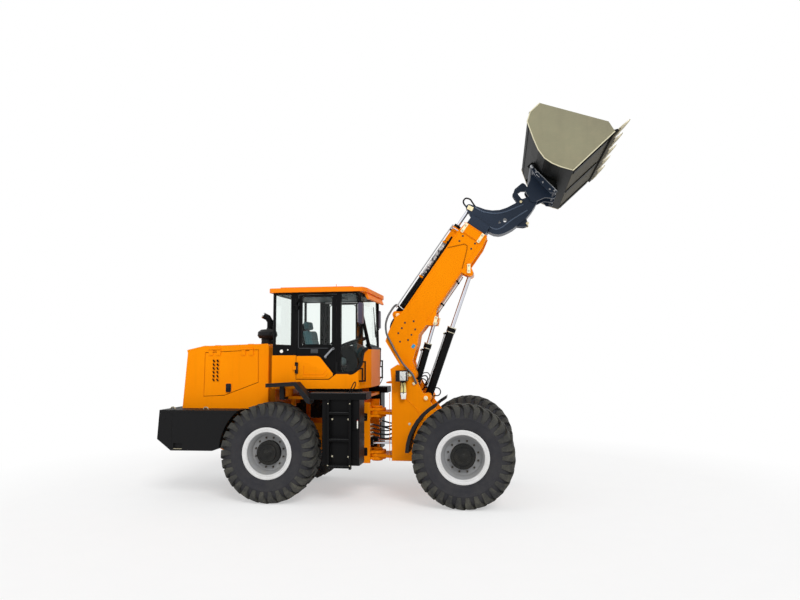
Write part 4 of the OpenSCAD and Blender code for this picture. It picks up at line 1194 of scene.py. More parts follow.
# ---------------------------------------------------------------- views of the machine

MACHINE = Frame()
PIVOT = (-785.0, 1717.0)
BOOM_ANGLE = 54.8
BOOM = Frame(*PIVOT, BOOM_ANGLE)
BUCKET_PIN = (3131.0, -5.0)
BUCKET_ANGLE = 42.2
BUCKET = BOOM.sub(*BUCKET_PIN, BUCKET_ANGLE - BOOM_ANGLE)


def wheel_view(x: float, side: int, half_track: float, height: float) -> Matrix:
    """Returns a wheel's own frame, its Z along the axle and outwards, from mm to metres."""
    place = Matrix.Translation(((front_axle_x() + x) * MM, side * half_track * MM, height * MM))
    return place @ Matrix.Rotation(math.radians(-90 * side), 4, "X") @ Matrix.Scale(MM, 4)


@dataclass
class Wheels:
    """Four lugged tyres on dished rims with planetary hubs."""

    shop: Workshop
    half_track: float = 852.5
    radius: float = 675.0
    wheelbase: float = 2650.0
    lugs: int = 30
    sweep: float = 9.0
    lug_half: float = 30.0
    lug_flare: float = 17.0
    lug_taper: float = 9.0
    foot_flare: float = 7.0
    nuts: int = 12
    nut_circle: float = 203.0
    carcass: tuple = ((322, 186), (350, 187), (358, 201), (372, 209), (378, 207), (386, 212),
                      (430, 217), (488, 219), (494, 222), (500, 222), (506, 217), (540, 210),
                      (575, 200), (606, 186), (630, 160), (640, 120), (644, 60), (645, 0))
    lug_top: tuple = ((507, 218), (540, 221), (585, 219), (630, 210.5), (657, 196.5), (672, 162),
                      (675, 110), (675, 60), (675, 14))
    lug_foot: tuple = ((507, 200), (535, 196), (565, 188), (595, 172), (612, 150), (622, 120),
                       (628, 90), (630, 50), (630, 14))

    def lug(self) -> bpy.types.Mesh:
        """Returns one lug of the outer half of the tread, at angle 0.

        Returns:
            The mesh.
        """
        part = bmesh.new()
        bmesh.ops.create_cube(part, size=1.0)
        long = [e for e in part.edges if abs(e.verts[0].co.x - e.verts[1].co.x) > 0.5]
        bmesh.ops.subdivide_edges(part, edges=long, cuts=7, use_grid_fill=True)
        for vert in part.verts:
            share, across, top = vert.co.x + 0.5, 2 * vert.co.y, vert.co.z > 0
            r, off = along(self.lug_top if top else self.lug_foot, share)
            half = self.lug_half + self.lug_flare * min(1.0, share * 2.2)
            half -= self.lug_taper * max(0.0, share - 0.6)
            half += 0 if top else self.foot_flare
            skew = math.radians(self.sweep) * max(0.0, share - 0.42) * 1.5
            angle = skew + across * half / self.radius
            vert.co = Vector((r * math.cos(angle), r * math.sin(angle), off))
        crest = [e for e in part.edges if all(v.co.xy.length > 500 for v in e.verts)
                 and len(e.link_faces) == 2 and e.calc_face_angle(0.0) > 0.6]
        bmesh.ops.bevel(part, geom=crest, offset=3.0, offset_type="OFFSET", segments=1,
                        profile=0.5, affect="EDGES", clamp_overlap=True, material=-1)
        bmesh.ops.recalc_face_normals(part, faces=part.faces)
        made = bpy.data.meshes.new("lug")
        part.to_mesh(made)
        part.free()
        return made

    def tyre(self, place: Matrix) -> Shape:
        """Returns a tyre's carcass in a wheel frame.

        Args:
            place: Where the wheel stands.

        Returns:
            The shape.
        """
        outer = list(self.carcass)
        inner = [(r, -off) for r, off in reversed(outer[:-1])]
        return Shape(place).turned(outer + inner, CENTRE, UP, 96, closed=True)

    def tread(self, place: Matrix) -> Shape:
        """Returns a tyre's two rows of lugs, half a pitch apart.

        Args:
            place: Where the wheel stands.

        Returns:
            The shape.
        """
        lug = self.lug()
        pitch = math.tau / self.lugs
        flip = Matrix.Diagonal((1, 1, -1, 1))
        rows = [Matrix.Rotation(i * pitch, 4, "Z") for i in range(self.lugs)]
        rows += [Matrix.Rotation((i + 0.5) * pitch, 4, "Z") @ flip for i in range(self.lugs)]
        made = Shape(place).copies(lug, rows)
        bpy.data.meshes.remove(lug)
        return made

    def rim(self, place: Matrix) -> Shape:
        """Returns the rim barrel with its rolled flanges and lock ring.

        Args:
            place: Where the wheel stands.

        Returns:
            The shape.
        """
        section = [(318, -188), (345, -188), (350, -192), (350, -199), (345, -202), (300, -202),
                   (296, -198), (296, 20), (262, 60), (250, 70), (246, 74), (262, 148), (272, 158),
                   (281, 176), (284, 190), (290, 199), (300, 202), (306, 199), (309, 196),
                   (314, 199), (322, 202), (344, 202), (350, 199), (350, 192), (345, 188),
                   (318, 188)]
        return Shape(place).turned(section, CENTRE, UP, 96, closed=True)

    def dish(self, place: Matrix) -> Shape:
        """Returns a darker grey cone over the rim's inner face, in front of the disc: painted
        shade for the inside of the rim.

        Args:
            place: Where the wheel stands.

        Returns:
            The shape.
        """
        section = [(243, 75.5), (244.5, 75.5), (260.5, 148), (270.5, 159.5), (279.5, 176.5),
                   (281, 186), (279, 186), (277, 177.5), (268, 161.5), (258, 150)]
        return Shape(place).turned(section, CENTRE, UP, 96, closed=True)

    def disc(self, place: Matrix) -> Shape:
        """Returns the pressed wheel disc, its nuts' seats and the valve.

        Args:
            place: Where the wheel stands.

        Returns:
            The shape.
        """
        section = [(166, 40), (246, 40), (256, 56), (256, 72), (246, 74), (232, 68), (222, 66),
                   (166, 66)]
        made = Shape(place).turned(section, CENTRE, UP, 72, closed=True)
        for i in range(self.nuts):
            a = math.tau * (i + 0.5) / self.nuts
            spot = (self.nut_circle * math.cos(a), self.nut_circle * math.sin(a))
            made.rod((*spot, 64), (*spot, 69), 19, 16, 1.0)
        return made.rod((0, 288, 120), (0, 276, 150), 6, 8, 1.0)

    def hub(self, place: Matrix) -> Shape:
        """Returns the stepped planetary hub with its rings of screws.

        Args:
            place: Where the wheel stands.

        Returns:
            The shape.
        """
        section = [(0, 175), (38, 175), (44, 171), (46, 166), (58, 164), (62, 160), (110, 160),
                   (115, 156), (117, 148), (120, 142), (158, 140), (165, 134), (165, 120),
                   (160, 114), (158, 96), (164, 88), (165, 66), (161, 40), (120, 40), (60.5, 40),
                   (60.5, 120), (0, 120)]
        made = Shape(place).turned(section, CENTRE, UP, 72)
        for count, radius, height, size in ((12, 140, 141, 17), (6, 86, 160, 15)):
            for i in range(count):
                a = math.tau * (i + 0.25) / count
                at = (radius * math.cos(a), radius * math.sin(a), height)
                made.bolt(at, (0, 0, 1), size, washer=False)
        return made.rod((0, 0, 174), (0, 0, 181), 13, 6, 1.0)

    def nuts_on(self, place: Matrix) -> Shape:
        """Returns the wheel nuts on their studs.

        Args:
            place: Where the wheel stands.

        Returns:
            The shape.
        """
        made = Shape(place)
        for i in range(self.nuts):
            a = math.tau * (i + 0.5) / self.nuts
            at = (self.nut_circle * math.cos(a), self.nut_circle * math.sin(a), 69)
            made.bolt(at, (0, 0, 1), 27, washer=False)
            made.rod((*at[:2], 80), (*at[:2], 92), 6.5, 8, 1.0)
        return made

    def build(self) -> None:
        """Builds the four wheels."""
        for end, x in (("front", 0.0), ("rear", -self.wheelbase)):
            for side, word in WORDS.items():
                which = f"{end}_{word}"
                place = wheel_view(x, side, self.half_track, self.radius)
                body = f"{which}_wheel"
                self.shop.piece(f"{which}_tyre_carcass", self.tyre(place), "tyre", body,
                                "tyre_rubber", [f"{which}_tyre"])
                self.shop.piece(f"{which}_tyre_lugs", self.tread(place), "tread", body,
                                "tyre_rubber", sharp=28)
                self.shop.piece(f"{which}_rim_barrel", self.rim(place), "rim", body, "rim_silver",
                                [f"{which}_rim"])
                # Disc and inner cone take the darker grey, as painted shade inside the rim.
                self.shop.piece(f"{which}_rim_disc", self.disc(place), "disc", body, "rim_silver")
                self.shop.piece(f"{which}_rim_dish", self.dish(place), "disc", body, "rim_silver")
                self.shop.piece(f"{which}_hub", self.hub(place), "hub", body, "cast_black")
                self.shop.piece(f"{which}_wheel_nuts", self.nuts_on(place), "bolt", body)


# ---------------------------------------------------------------- studio

@dataclass
class Studio:
    """The floor, the light and the camera."""

    floor_radius: float = 90.0
    floor_tones: tuple = ((250, 250, 250), (246, 246, 246))
    floor_fade: tuple = (3.2, 7.5)
    floor_glow: float = 0.45
    sky: float = 0.62
    lamps: tuple = (("key", (52, 0, 28), 1.55, 24), ("fill", (62, 0, -48), 0.35, 60))
    eye: tuple = (1.5902, -9.48, 2.0)
    yaw_pitch_roll: tuple = (8.9, 4.9, -0.25)
    sensor: float = 36.0
    lens: float = 28.8
    sight: float = 400.0

    def _white_for_eyes(self, sheet: NodeSheet) -> bpy.types.NodeSocket:
        """Returns 1 for rays that see the background by eye, gloss or glass.

        Args:
            sheet: The surround's nodes.

        Returns:
            The output that holds it.
        """
        rays = sheet.add("LightPath")
        seen = sheet.math("MAXIMUM", rays.outputs["Is Camera Ray"], rays.outputs["Is Glossy Ray"])
        return sheet.math("MAXIMUM", seen, rays.outputs["Is Transmission Ray"])

    def world(self) -> None:
        """Makes a plain white surround that lights softly."""
        world = bpy.data.worlds.new("surround")
        world.use_nodes = True
        bpy.context.scene.world = world
        sheet = NodeSheet(world.node_tree)
        seen = self._white_for_eyes(sheet)
        strength = sheet.remap(seen, 0.0, 1.0, self.sky, 1.0)
        back = world.node_tree.nodes["Background"]
        back.inputs["Color"].default_value = WHITE
        sheet.tree.links.new(strength, back.inputs["Strength"])

    def floor(self) -> None:
        """Makes a round pale floor that keeps shadows near the machine and goes white far off."""
        part = bmesh.new()
        bmesh.ops.create_circle(part, cap_ends=True, segments=96, radius=self.floor_radius)
        mesh = bpy.data.meshes.new("floor")
        part.to_mesh(mesh)
        part.free()
        placed("floor", mesh)
        skin = Skin("pale_floor")
        sheet = skin.sheet
        speck = sheet.remap(sheet.noise(skin.spot, 3.0, 4.0), 0.0, 1.0)
        skin.feed(Roughness=0.95, Specular_IOR_Level=0.0,
                  Base_Color=sheet.blend(speck, *[shade(tone) for tone in self.floor_tones]))
        glow = sheet.add("Emission", {"Color": WHITE, "Strength": 1.0})
        away = sheet.add("VectorMath", {0: skin.spot}, operation="LENGTH").outputs["Value"]
        far = sheet.math("MAXIMUM", sheet.remap(away, *self.floor_fade), self.floor_glow)
        share = sheet.math("MULTIPLY", far, self._white_for_eyes(sheet))
        mixed = sheet.add("MixShader", {0: share, 1: skin.shader.outputs[0],
                                        2: glow.outputs[0]})
        skin.cover(mixed.outputs[0])
        mesh.materials.append(skin.made)

    def lights(self) -> None:
        """Makes one broad key light, high and to the side, and a weak fill."""
        for name, turn, strength, size in self.lamps:
            data = bpy.data.lights.new(name, "SUN")
            data.energy = strength
            data.angle = math.radians(size)
            placed(name, data).rotation_euler = [math.radians(a) for a in turn]

    def camera(self) -> None:
        """Makes the camera at the machine's right side, slightly ahead and low."""
        yaw, pitch, roll = (math.radians(a) for a in self.yaw_pitch_roll)
        ahead = Vector((-math.sin(yaw) * math.cos(pitch), math.cos(yaw) * math.cos(pitch),
                        math.sin(pitch)))
        across = Vector((math.cos(yaw), math.sin(yaw), 0.0))
        upward = across.cross(ahead)
        right = across * math.cos(roll) + upward * math.sin(roll)
        up = upward * math.cos(roll) - across * math.sin(roll)
        place = Matrix.Translation(self.eye)
        turn = Matrix((right, up, -ahead)).transposed().to_4x4()
        data = bpy.data.cameras.new("camera")
        data.sensor_width = self.sensor
        data.lens = self.lens
        data.clip_end = self.sight
        camera = placed("camera", data)
        camera.matrix_world = place @ turn
        bpy.context.scene.camera = camera

    def build(self) -> None:
        """Builds all of it."""
        bpy.context.scene.view_settings.view_transform = "Standard"
        self.world()
        self.floor()
        self.lights()
        self.camera()


# ---------------------------------------------------------------- rear body

def mirrored(points: Sequence[Point], side: int) -> list[tuple[float, float, float]]:
    """Returns points with their distance across the machine put on one side."""
    return [(p[0], side * p[1], p[2]) for p in points]


@dataclass
class EngineHood:
    """The hood's louvres, latches, side strips, exhaust mouth and rear lamps."""

    shop: Workshop
    half: float = 620.0
    rows: int = 6
    top_row: float = 1940.0
    row_step: float = 55.0
    columns: tuple = (-3650.0, -3590.0)
    latch: tuple = (-3397.0, 1535.0)
    rear_foot: tuple = (-4107.0, 1240.0)
    rear_slope: tuple = (65.0, 820.0)
    exhaust_at: tuple = (-3099.0, -60.0, 2614.5)
    exhaust_way: tuple = (-0.899, 0.0, 0.438)
    stack_at: tuple = (-2990.0, -60.0, 2240.0)
    cleaner_at: tuple = (-2940.0, -300.0)

    def louvres(self, side: int) -> Shape:
        """Returns near-black plates in the shape of one cover's slots, painted shade for the dark
        inside them.

        Args:
            side: The side it is for.

        Returns:
            The shape.
        """
        made = Shape(MACHINE)
        for x in self.columns:
            for row in range(self.rows):
                z = self.top_row - row * self.row_step
                made.plate([(x, z), (x + 20, z + 3), (x + 40, z - 32), (x + 18, z - 35)],
                           self.half + 8, self.half + 12, 0.6, side=side)
        return made

    def louvre_lips(self, side: int) -> Shape:
        """Returns the pressed lips over the slots.

        Args:
            side: The side it is for.

        Returns:
            The shape.
        """
        made = Shape(MACHINE)
        for x in self.columns:
            for row in range(self.rows):
                z = self.top_row - row * self.row_step
                line = [(x - 4, side * (self.half + 9), z),
                        (x + 8, side * (self.half + 12), z + 7),
                        (x + 24, side * (self.half + 12), z + 6),
                        (x + 44, side * (self.half + 9), z - 30)]
                made.tube(line, 2.2, 6)
        return made

    def latch_on(self, side: int) -> Shape:
        """Returns the recessed paddle latch of one cover.

        Args:
            side: The side it is for.

        Returns:
            The shape.
        """
        x, z = self.latch
        made = Shape(MACHINE)
        rim = [(x - 40, z - 50), (x - 28, z - 62), (x + 28, z - 62), (x + 40, z - 50),
               (x + 40, z + 50), (x + 28, z + 62), (x - 28, z + 62), (x - 40, z + 50)]
        made.plate(rim, self.half + 9, self.half + 15, 2.5, 2, side=side)
        made.block((x - 22, self.half + 12, z - 30), (x + 22, self.half + 22, z + 36), 5,
                   side=side)
        return made.rod((x, side * (self.half + 12), z - 46), (x, side * (self.half + 18), z - 46),
                        7, 12)

    def side_strips(self) -> Shape:
        """Returns darker orange panels between the hood and the cab: painted shade for the shadow
        in that recess.

        Returns:
            The shape.
        """
        made = Shape(MACHINE)
        for side in SIDES:
            made.block((-2797, 589, 1245), (-2707, 592, 2116), 1, side=side)
        return made

    def seams(self) -> Shape:
        """Returns the folded beads along the hood's top edges and its lifting tabs.

        Returns:
            The shape.
        """
        made = Shape(MACHINE)
        top = [(-4040, 2078), (-3780, 2139), (-2815, 2167)]
        for side in SIDES:
            made.tube([(x, side * (self.half - 6), z - 3) for x, z in top], 7, 8)
            for x, z in ((-3600, 2142), (-3090, 2158)):
                made.block((x - 42, side * 560 - 22, z - 6), (x + 42, side * 560 + 22, z + 12), 5)
        return made

    def exhaust(self) -> Shape:
        """Returns the rolled rim of the exhaust mouth and the clamp at its foot.

        Returns:
            The shape.
        """
        made = Shape(MACHINE)
        made.turned([(41, -16), (47.5, -16), (49, 0), (47, 3), (42, 3)], self.exhaust_at,
                    self.exhaust_way, 32, closed=True)
        made.turned([(46.5, 0), (51, 0), (51, 22), (46.5, 22)], self.stack_at, UP, 32,
                    closed=True)
        return made.bolt((-2990, -112, 2251), (0, -1, 0), 12)

    def exhaust_dark(self) -> Shape:
        """Returns a near-black disc in the exhaust mouth: soot, and painted shade for the inside
        of the pipe.
        """
        way, spot = Vector(self.exhaust_way), Vector(self.exhaust_at)
        return Shape(MACHINE).rod(spot - way * 2, spot + way * 1.2, 41, 24, 0)

    def cleaner_bands(self) -> Shape:
        """Returns the bands and wing screw of the air pre-cleaner.

        Returns:
            The shape.
        """
        made = Shape(MACHINE)
        at = self.cleaner_at
        for z in (2185, 2238):
            made.turned([(88, -7), (92, -5), (92, 5), (88, 7)], (*at, z), UP, 40, closed=True)
        made.turned([(141, -6), (149, -3), (149, 3), (141, 6)], (*at, 2300), UP, 40,
                    closed=True)
        return made.rod((*at, 2390), (*at, 2412), 14, 12, 2)

    def tail_lamps(self) -> Shape:
        """Returns the tail lamps on the hood's rear face.

        Returns:
            The shape.
        """
        made = Shape(MACHINE)
        (foot, base), (run, rise) = self.rear_foot, self.rear_slope
        for side in SIDES:
            for z in (1330, 1450):
                x = foot + (z - base) * run / rise
                made.turned([(0, 16), (30, 14), (42, 6), (44, 0), (0, 0)], (x, side * 525, z),
                            (-1, 0, 0.08), 32)
        return made

    def grille_mesh(self) -> Shape:
        """Returns the frame and upright bars of the rear grille.

        Returns:
            The shape.
        """
        made = Shape(MACHINE)
        for y in range(-400, 401, 100):
            made.block((-4056, y - 6, 1400), (-4049, y + 6, 1945), 1.5)
        for z in (1392, 1948):
            made.block((-4060, -425, z - 9), (-4048, 425, z + 9), 3)
        return made

    def build(self) -> None:
        """Builds the hood's pieces."""
        for side, word in WORDS.items():
            body = f"{word}_engine_cover"
            # Painted shade: near-black plates stand in for the dark inside the louvre slots.
            self.shop.piece(f"{word}_louvre_slots", self.louvres(side), "dark", body)
            self.shop.piece(f"{word}_louvre_lips", self.louvre_lips(side), "orange", body,
                            "orange_paint")
            self.shop.piece(f"{word}_cover_latch", self.latch_on(side), "plastic", body,
                            "black_plastic")
        rear = "rear_chassis"
        # Painted shade: darker orange strips where the recess by the cab lies in shadow.
        self.shop.piece("hood_side_strips", self.side_strips(), "shadow_orange", rear,
                        "orange_paint")
        self.shop.piece("hood_seams", self.seams(), "orange", rear, "orange_paint")
        self.shop.piece("exhaust_rim", self.exhaust(), "pipe", rear)
        # Painted shade, with soot: a near-black disc in the exhaust mouth.
        self.shop.piece("exhaust_mouth", self.exhaust_dark(), "dark", rear)
        self.shop.piece("cleaner_bands", self.cleaner_bands(), "plastic", rear, "black_plastic")
        self.shop.piece("tail_lamps", self.tail_lamps(), "red", rear, "lamp_plastic")
        self.shop.piece("grille_bars", self.grille_mesh(), "black", rear, "black_paint")


@dataclass
class Counterweight:
    """The counterweight's lifting eyes, seams, plugs and reflectors."""

    shop: Workshop
    half: float = 970.0
    top: float = 1240.0

    def eyes(self) -> Shape:
        """Returns the lifting eyes on the top and light steel strips on the foot pockets' lower
        edges, painted highlights for their shiny lips.

        Returns:
            The shape.
        """
        made = Shape(MACHINE)
        for side in SIDES:
            for x in (-3655, -4160):
                loop = [(x + 34 * math.cos(math.pi * k / 8), side * 800,
                         self.top - 2 + 30 * math.sin(math.pi * k / 8)) for k in range(9)]
                made.tube(loop, 9, 10)
            # Painted highlight: a light steel strip along each pocket's lower edge.
            made.block((-4048, 946, 700), (-3922, self.half + 1, 709), 1.5, side=side)
        return made

    def skirt(self) -> Shape:
        """Returns cast seams and core plugs on the flanks and the rear.

        Returns:
            The shape.
        """
        made = Shape(MACHINE)
        for side in SIDES:
            y = side * self.half
            made.tube([(-4085, y, 1238), (-4085, y, 690)], 4, 6)
            made.tube([(-4268, y, 1205), (-3100, y, 1205)], 3.5, 6)
            for x in (-3560, -4200):
                made.rod((x, y - side * 2, 1120), (x, y + side * 3, 1120), 24, 24, 2)
        for y in (-600, 600):
            made.rod((-4290, y, 1030), (-4300, y, 1030), 40, 28, 3)
        return made

    def reflectors(self) -> Shape:
        """Returns the red reflectors on the rear face.

        Returns:
            The shape.
        """
        made = Shape(MACHINE)
        for side in SIDES:
            made.block((-4289, 760, 1120), (-4278, 900, 1165), 3, side=side)
        return made

    def build(self) -> None:
        """Builds the counterweight's pieces."""
        self.shop.piece("counterweight_eyes", self.eyes(), "steel", "rear_chassis")
        self.shop.piece("counterweight_seams", self.skirt(), "cast", "rear_chassis", "cast_black")
        self.shop.piece("rear_reflectors", self.reflectors(), "red", "rear_chassis",
                        "lamp_plastic")


# ---------------------------------------------------------------- cab

@dataclass
class Doors:
    """The cab doors' coloured lower panels, pressings, seals and handles."""

    shop: Workshop
    skin: float = 780.0
    frame_skin: float = 750.0
    panel: tuple = ((-2331, 1671), (-1861, 1671), (-1803, 1716), (-1803, 1746), (-1850, 1806),
                    (-1975, 1958), (-1990, 1973), (-2012, 1985), (-2040, 1990), (-2331, 1990))
    press_upper: tuple = ((-2223, 1850), (-2222, 1733), (-1950, 1733), (-1897, 1794))
    press_lower: tuple = ((-2230, 1702), (-1917, 1700), (-1862, 1758))
    window: tuple = (-2266.0, -1820.0, 2145.0, 2832.0)
    grip: tuple = ((-1916, 1975), (-1806, 2090))
    grip_out: float = 790.0

    def lower_panel(self, side: int) -> Shape:
        """Returns the coloured panel with its rounded corner."""
        return Shape(MACHINE).plate(self.panel, self.skin - 2, self.skin + 3, 2, 2, side=side)

    def pressings(self, side: int) -> Shape:
        """Returns the pressed beads of the lower panel.

        Args:
            side: The side it is for.

        Returns:
            The shape.
        """
        made = Shape(MACHINE)
        for line in (self.press_upper, self.press_lower):
            path = [(x, side * (self.skin + 2), z) for x, z in line]
            made.tube(path, 7, 8)
        return made

    def seals(self, side: int) -> Shape:
        """Returns the rubber round the pane and the door's own edge strip.

        Args:
            side: The side it is for.

        Returns:
            The shape.
        """
        made = Shape(MACHINE)
        x0, x1, z0, z1 = self.window
        y = side * (self.frame_skin - 3)
        made.tube([(x0 + 40, y, z0), (x1 - 40, y, z0), (x1, y, z0 + 40), (x1, y, z1 - 40),
                   (x1 - 40, y, z1), (x0 + 40, y, z1), (x0, y, z1 - 40), (x0, y, z0 + 40),
                   (x0 + 40, y, z0)], 9, 8)
        return made

    def edge_strip(self, side: int) -> Shape:
        """Returns the pale edge of the door's upper frame.

        Args:
            side: The side it is for.

        Returns:
            The shape.
        """
        y = side * (self.frame_skin + 1)
        made = Shape(MACHINE)
        return made.tube([(-2312, y, 2846), (-2312, y, 2112), (-2296, y, 2098), (-1880, y, 2098)],
                         5, 6)

    def handle(self, side: int) -> Shape:
        """Returns the grey grip over the door's bar.

        Args:
            side: The side it is for.

        Returns:
            The shape.
        """
        (x0, z0), (x1, z1) = self.grip
        y = side * self.grip_out
        made = Shape(MACHINE).tube([(x0 - 2, y, z0 - 2), (x1 + 2, y, z1 + 2)], 13.6, 14)
        for x, z in self.grip:
            made.rod((x, side * 752, z), (x, side * 762, z), 18, 20, 2)
        return made

    def latch_plate(self, side: int) -> Shape:
        """Returns the lock plate beside the handle.

        Args:
            side: The side it is for.

        Returns:
            The shape.
        """
        made = Shape(MACHINE).block((-2132, self.frame_skin - 1, 2028),
                                    (-2026, self.frame_skin + 5, 2086), 6, 3, side=side)
        made.block((-2114, self.frame_skin + 3, 2038), (-2062, self.frame_skin + 9, 2076), 4,
                   side=side)
        return made.rod((-2044, side * (self.frame_skin + 3), 2057),
                        (-2044, side * (self.frame_skin + 9), 2057), 10, 20, 1.5)

    def pull(self, side: int) -> Shape:
        """Returns the black pull by the door's hinge edge."""
        return Shape(MACHINE).block((-2330, self.skin + 1, 1744), (-2306, self.skin + 24, 1880), 5,
                                    3, side=side)

    def build(self) -> None:
        """Builds both doors."""
        for side, word in WORDS.items():
            body = f"{word}_door"
            shop = self.shop
            shop.piece(f"{word}_door_panel", self.lower_panel(side), "orange", body,
                       "orange_paint")
            shop.piece(f"{word}_door_pressings", self.pressings(side), "orange", body,
                       "orange_paint")
            shop.piece(f"{word}_door_seal", self.seals(side), "seal", body, "black_plastic")
            shop.piece(f"{word}_door_edge", self.edge_strip(side), "edge", body, "black_plastic")
            shop.piece(f"{word}_door_grip", self.handle(side), "handle", body)
            shop.piece(f"{word}_door_lock", self.latch_plate(side), "edge", body, "black_plastic")
            shop.piece(f"{word}_door_pull", self.pull(side), "plastic", body, "black_plastic")


@dataclass
class CabTrim:
    """What is fixed to the cab: seals, mirrors, wiper, reflectors and the roof's parts."""

    shop: Workshop
    corner_x: float = -1440.0
    nose_x: float = -1345.0
    low_half: float = 780.0
    nose_half: float = 340.0
    glass_foot: tuple = (-1379.0, 2117.0)
    glass_rise: float = 743.0
    glass_back: float = 90.8
    mirror_x: dict = field(default_factory=lambda: {RIGHT: -1395.0, LEFT: -1468.0})

    def wall_y(self, x: float) -> float:
        """Returns how far out the lower cab's wall stands at a place along the machine.

        Args:
            x: The place.

        Returns:
            The distance from the middle, in mm.
        """
        if x <= self.corner_x:
            return self.low_half
        share = (x - self.corner_x) / (self.nose_x - self.corner_x)
        return self.low_half + share * (self.nose_half - self.low_half)

    def sill_seal(self, side: int) -> list[Vector]:
        """Returns the line of the thick seal under one front side window.

        Args:
            side: The side it is for.

        Returns:
            The points of the line.
        """
        line = [(-1757, 1900), (-1757, 1762), (-1735, 1741), (-1690, 1738), (-1600, 1740)]
        line += arc((-1580, 1900), 160, -82, -6, 6)
        line += [(-1410, 2024), (-1396, 2060), (-1381, 2088)]
        flat = [(x, self.wall_y(x) - (32 if x < -1560 else 14), z + 6) for x, z in line]
        return smoothed(mirrored(flat, side), 3)

    def seals(self) -> Shape:
        """Returns the thick sill seals.

        Returns:
            The shape.
        """
        made = Shape(MACHINE)
        for side in SIDES:
            made.tube(self.sill_seal(side), 25, 12)
        return made

    def front_seals(self) -> Shape:
        """Returns the rubber along the windscreen's foot, head and sides.

        Returns:
            The shape.
        """
        made = Shape(MACHINE)
        x0, z0 = self.glass_foot
        x1, z1 = x0 - self.glass_back, z0 + self.glass_rise
        made.tube([(x0 + 10, -296, z0 + 4), (x0 + 10, 296, z0 + 4)], 10, 8)
        made.tube([(x1 + 10, -672, z1 - 8), (x1 + 10, 672, z1 - 8)], 10, 8)
        for side in SIDES:
            made.tube([(-2675, side * 752, 2142), (-2675, side * 752, 2856)], 8, 6)
            made.tube([(-2656, side * 748, 2144), (-2418, side * 748, 2144),
                       (-2418, side * 748, 2856)],
                      9, 6)
        return made

    def wiper(self) -> Shape:
        """Returns the windscreen wiper with its arm and blade.

        Returns:
            The shape.
        """
        x0, z0 = self.glass_foot
        lean = self.glass_back / self.glass_rise

        def on_glass(y: float, up: float, off: float) -> tuple[float, float, float]:
            """Returns a point in front of the windscreen."""
            return (x0 + off - up * lean, y, z0 + up)

        made = Shape(MACHINE)
        made.rod(on_glass(120, 4, 6), on_glass(120, 6, 40), 16, 16)
        made.tube([on_glass(120, 6, 36), on_glass(150, 160, 30), on_glass(210, 380, 24)], 7, 8)
        made.tube([on_glass(130, 150, 18), on_glass(230, 400, 17), on_glass(275, 620, 18)], 6, 6)
        return made

    def mirror_arms(self) -> Shape:
        """Returns the mirrors' bent arms.

        Returns:
            The shape.
        """
        made = Shape(MACHINE)
        for side in SIDES:
            x, root = self.mirror_x[side], self.corner_x
            line = [(root, 745, 2862), (root + 2, 800, 2866), (x, 836, 2850), (x, 842, 2800),
                    (x, 842, 2420)]
            made.tube(smoothed(mirrored(line, side), 4), 11, 12)
            low = [(x, 842, 2470), (x - 4, 806, 2430), (root, 745, 2412)]
            made.tube(smoothed(mirrored(low, side), 4), 8, 10)
        return made

    def mirror_shells(self) -> Shape:
        """Returns the mirrors' rounded shells.

        Returns:
            The shape.
        """
        made = Shape(MACHINE)
        for side in SIDES:
            x = self.mirror_x[side]
            made.block((x - 26, 762, 2430), (x + 34, 912, 2724), 20, 4, side=side)
        return made

    def mirror_panes(self) -> Shape:
        """Returns the mirrors' silvered faces.

        Returns:
            The shape.
        """
        made = Shape(MACHINE)
        for side in SIDES:
            x = self.mirror_x[side]
            made.block((x - 29, 778, 2452), (x - 24, 896, 2702), 2, side=side)
        return made

    def reflectors(self) -> Shape:
        """Returns the round reflectors on the waist band.

        Returns:
            The shape.
        """
        made = Shape(MACHINE)
        for side in SIDES:
            y = side * 749
            made.turned([(0, 7), (20, 6.5), (24, 3), (25, 0), (0, 0)], (-2561, y, 2057),
                        (0, side, 0), 28)
            made.turned([(0, 6), (8, 5), (10, 0), (0, 0)], (-2468, y, 2076), (0, side, 0), 20)
        return made

    def roof_parts(self) -> Shape:
        """Returns the roof's raised ribs, its rain gutter and the aerial foot.

        Returns:
            The shape.
        """
        made = Shape(MACHINE)
        for y in (-420, -140, 140, 420):
            made.block((-2560, y - 40, 2972), (-1600, y + 40, 2981), 5)
        made.rod((-1793, -640, 2948), (-1793, -640, 2966), 14, 16)
        return made.rod((-1793, -640, 2960), (-1793, -640, 3010), 4, 8, 0.5)

    def headlining(self) -> Shape:
        """Returns the lining under the roof, with its lamp and vents.

        Returns:
            The shape.
        """
        made = Shape(MACHINE)
        made.block((-2650, -712, 2868), (-1460, 712, 2889), 6)
        made.block((-1980, -120, 2846), (-1800, 120, 2870), 8, 3)
        for y in (-520, 520):
            made.rod((-1560, y, 2856), (-1560, y, 2870), 38, 24, 3)
        return made

    def skirts(self) -> Shape:
        """Returns the rubber skirts and mounts under the cab.

        Returns:
            The shape.
        """
        made = Shape(MACHINE)
        for side in SIDES:
            made.block((-2300, 636, 1492), (-1420, 650, 1538), 4, side=side)
            for x in (-2010, -1640, -1470):
                made.rod((x, side * 690, 1494), (x, side * 690, 1535), 34, 24, 6)
        return made

    def deck_loops(self) -> Shape:
        """Returns the handle loops on the deck.

        Returns:
            The shape.
        """
        made = Shape(MACHINE)
        for side in SIDES:
            loop = [(-1522, 985, 1492), (-1490, 985, 1560), (-1452, 985, 1632), (-1432, 985, 1628),
                    (-1436, 985, 1590), (-1462, 985, 1540), (-1494, 985, 1492)]
            made.tube(smoothed(mirrored(loop, side), 4), 7, 8)
        return made

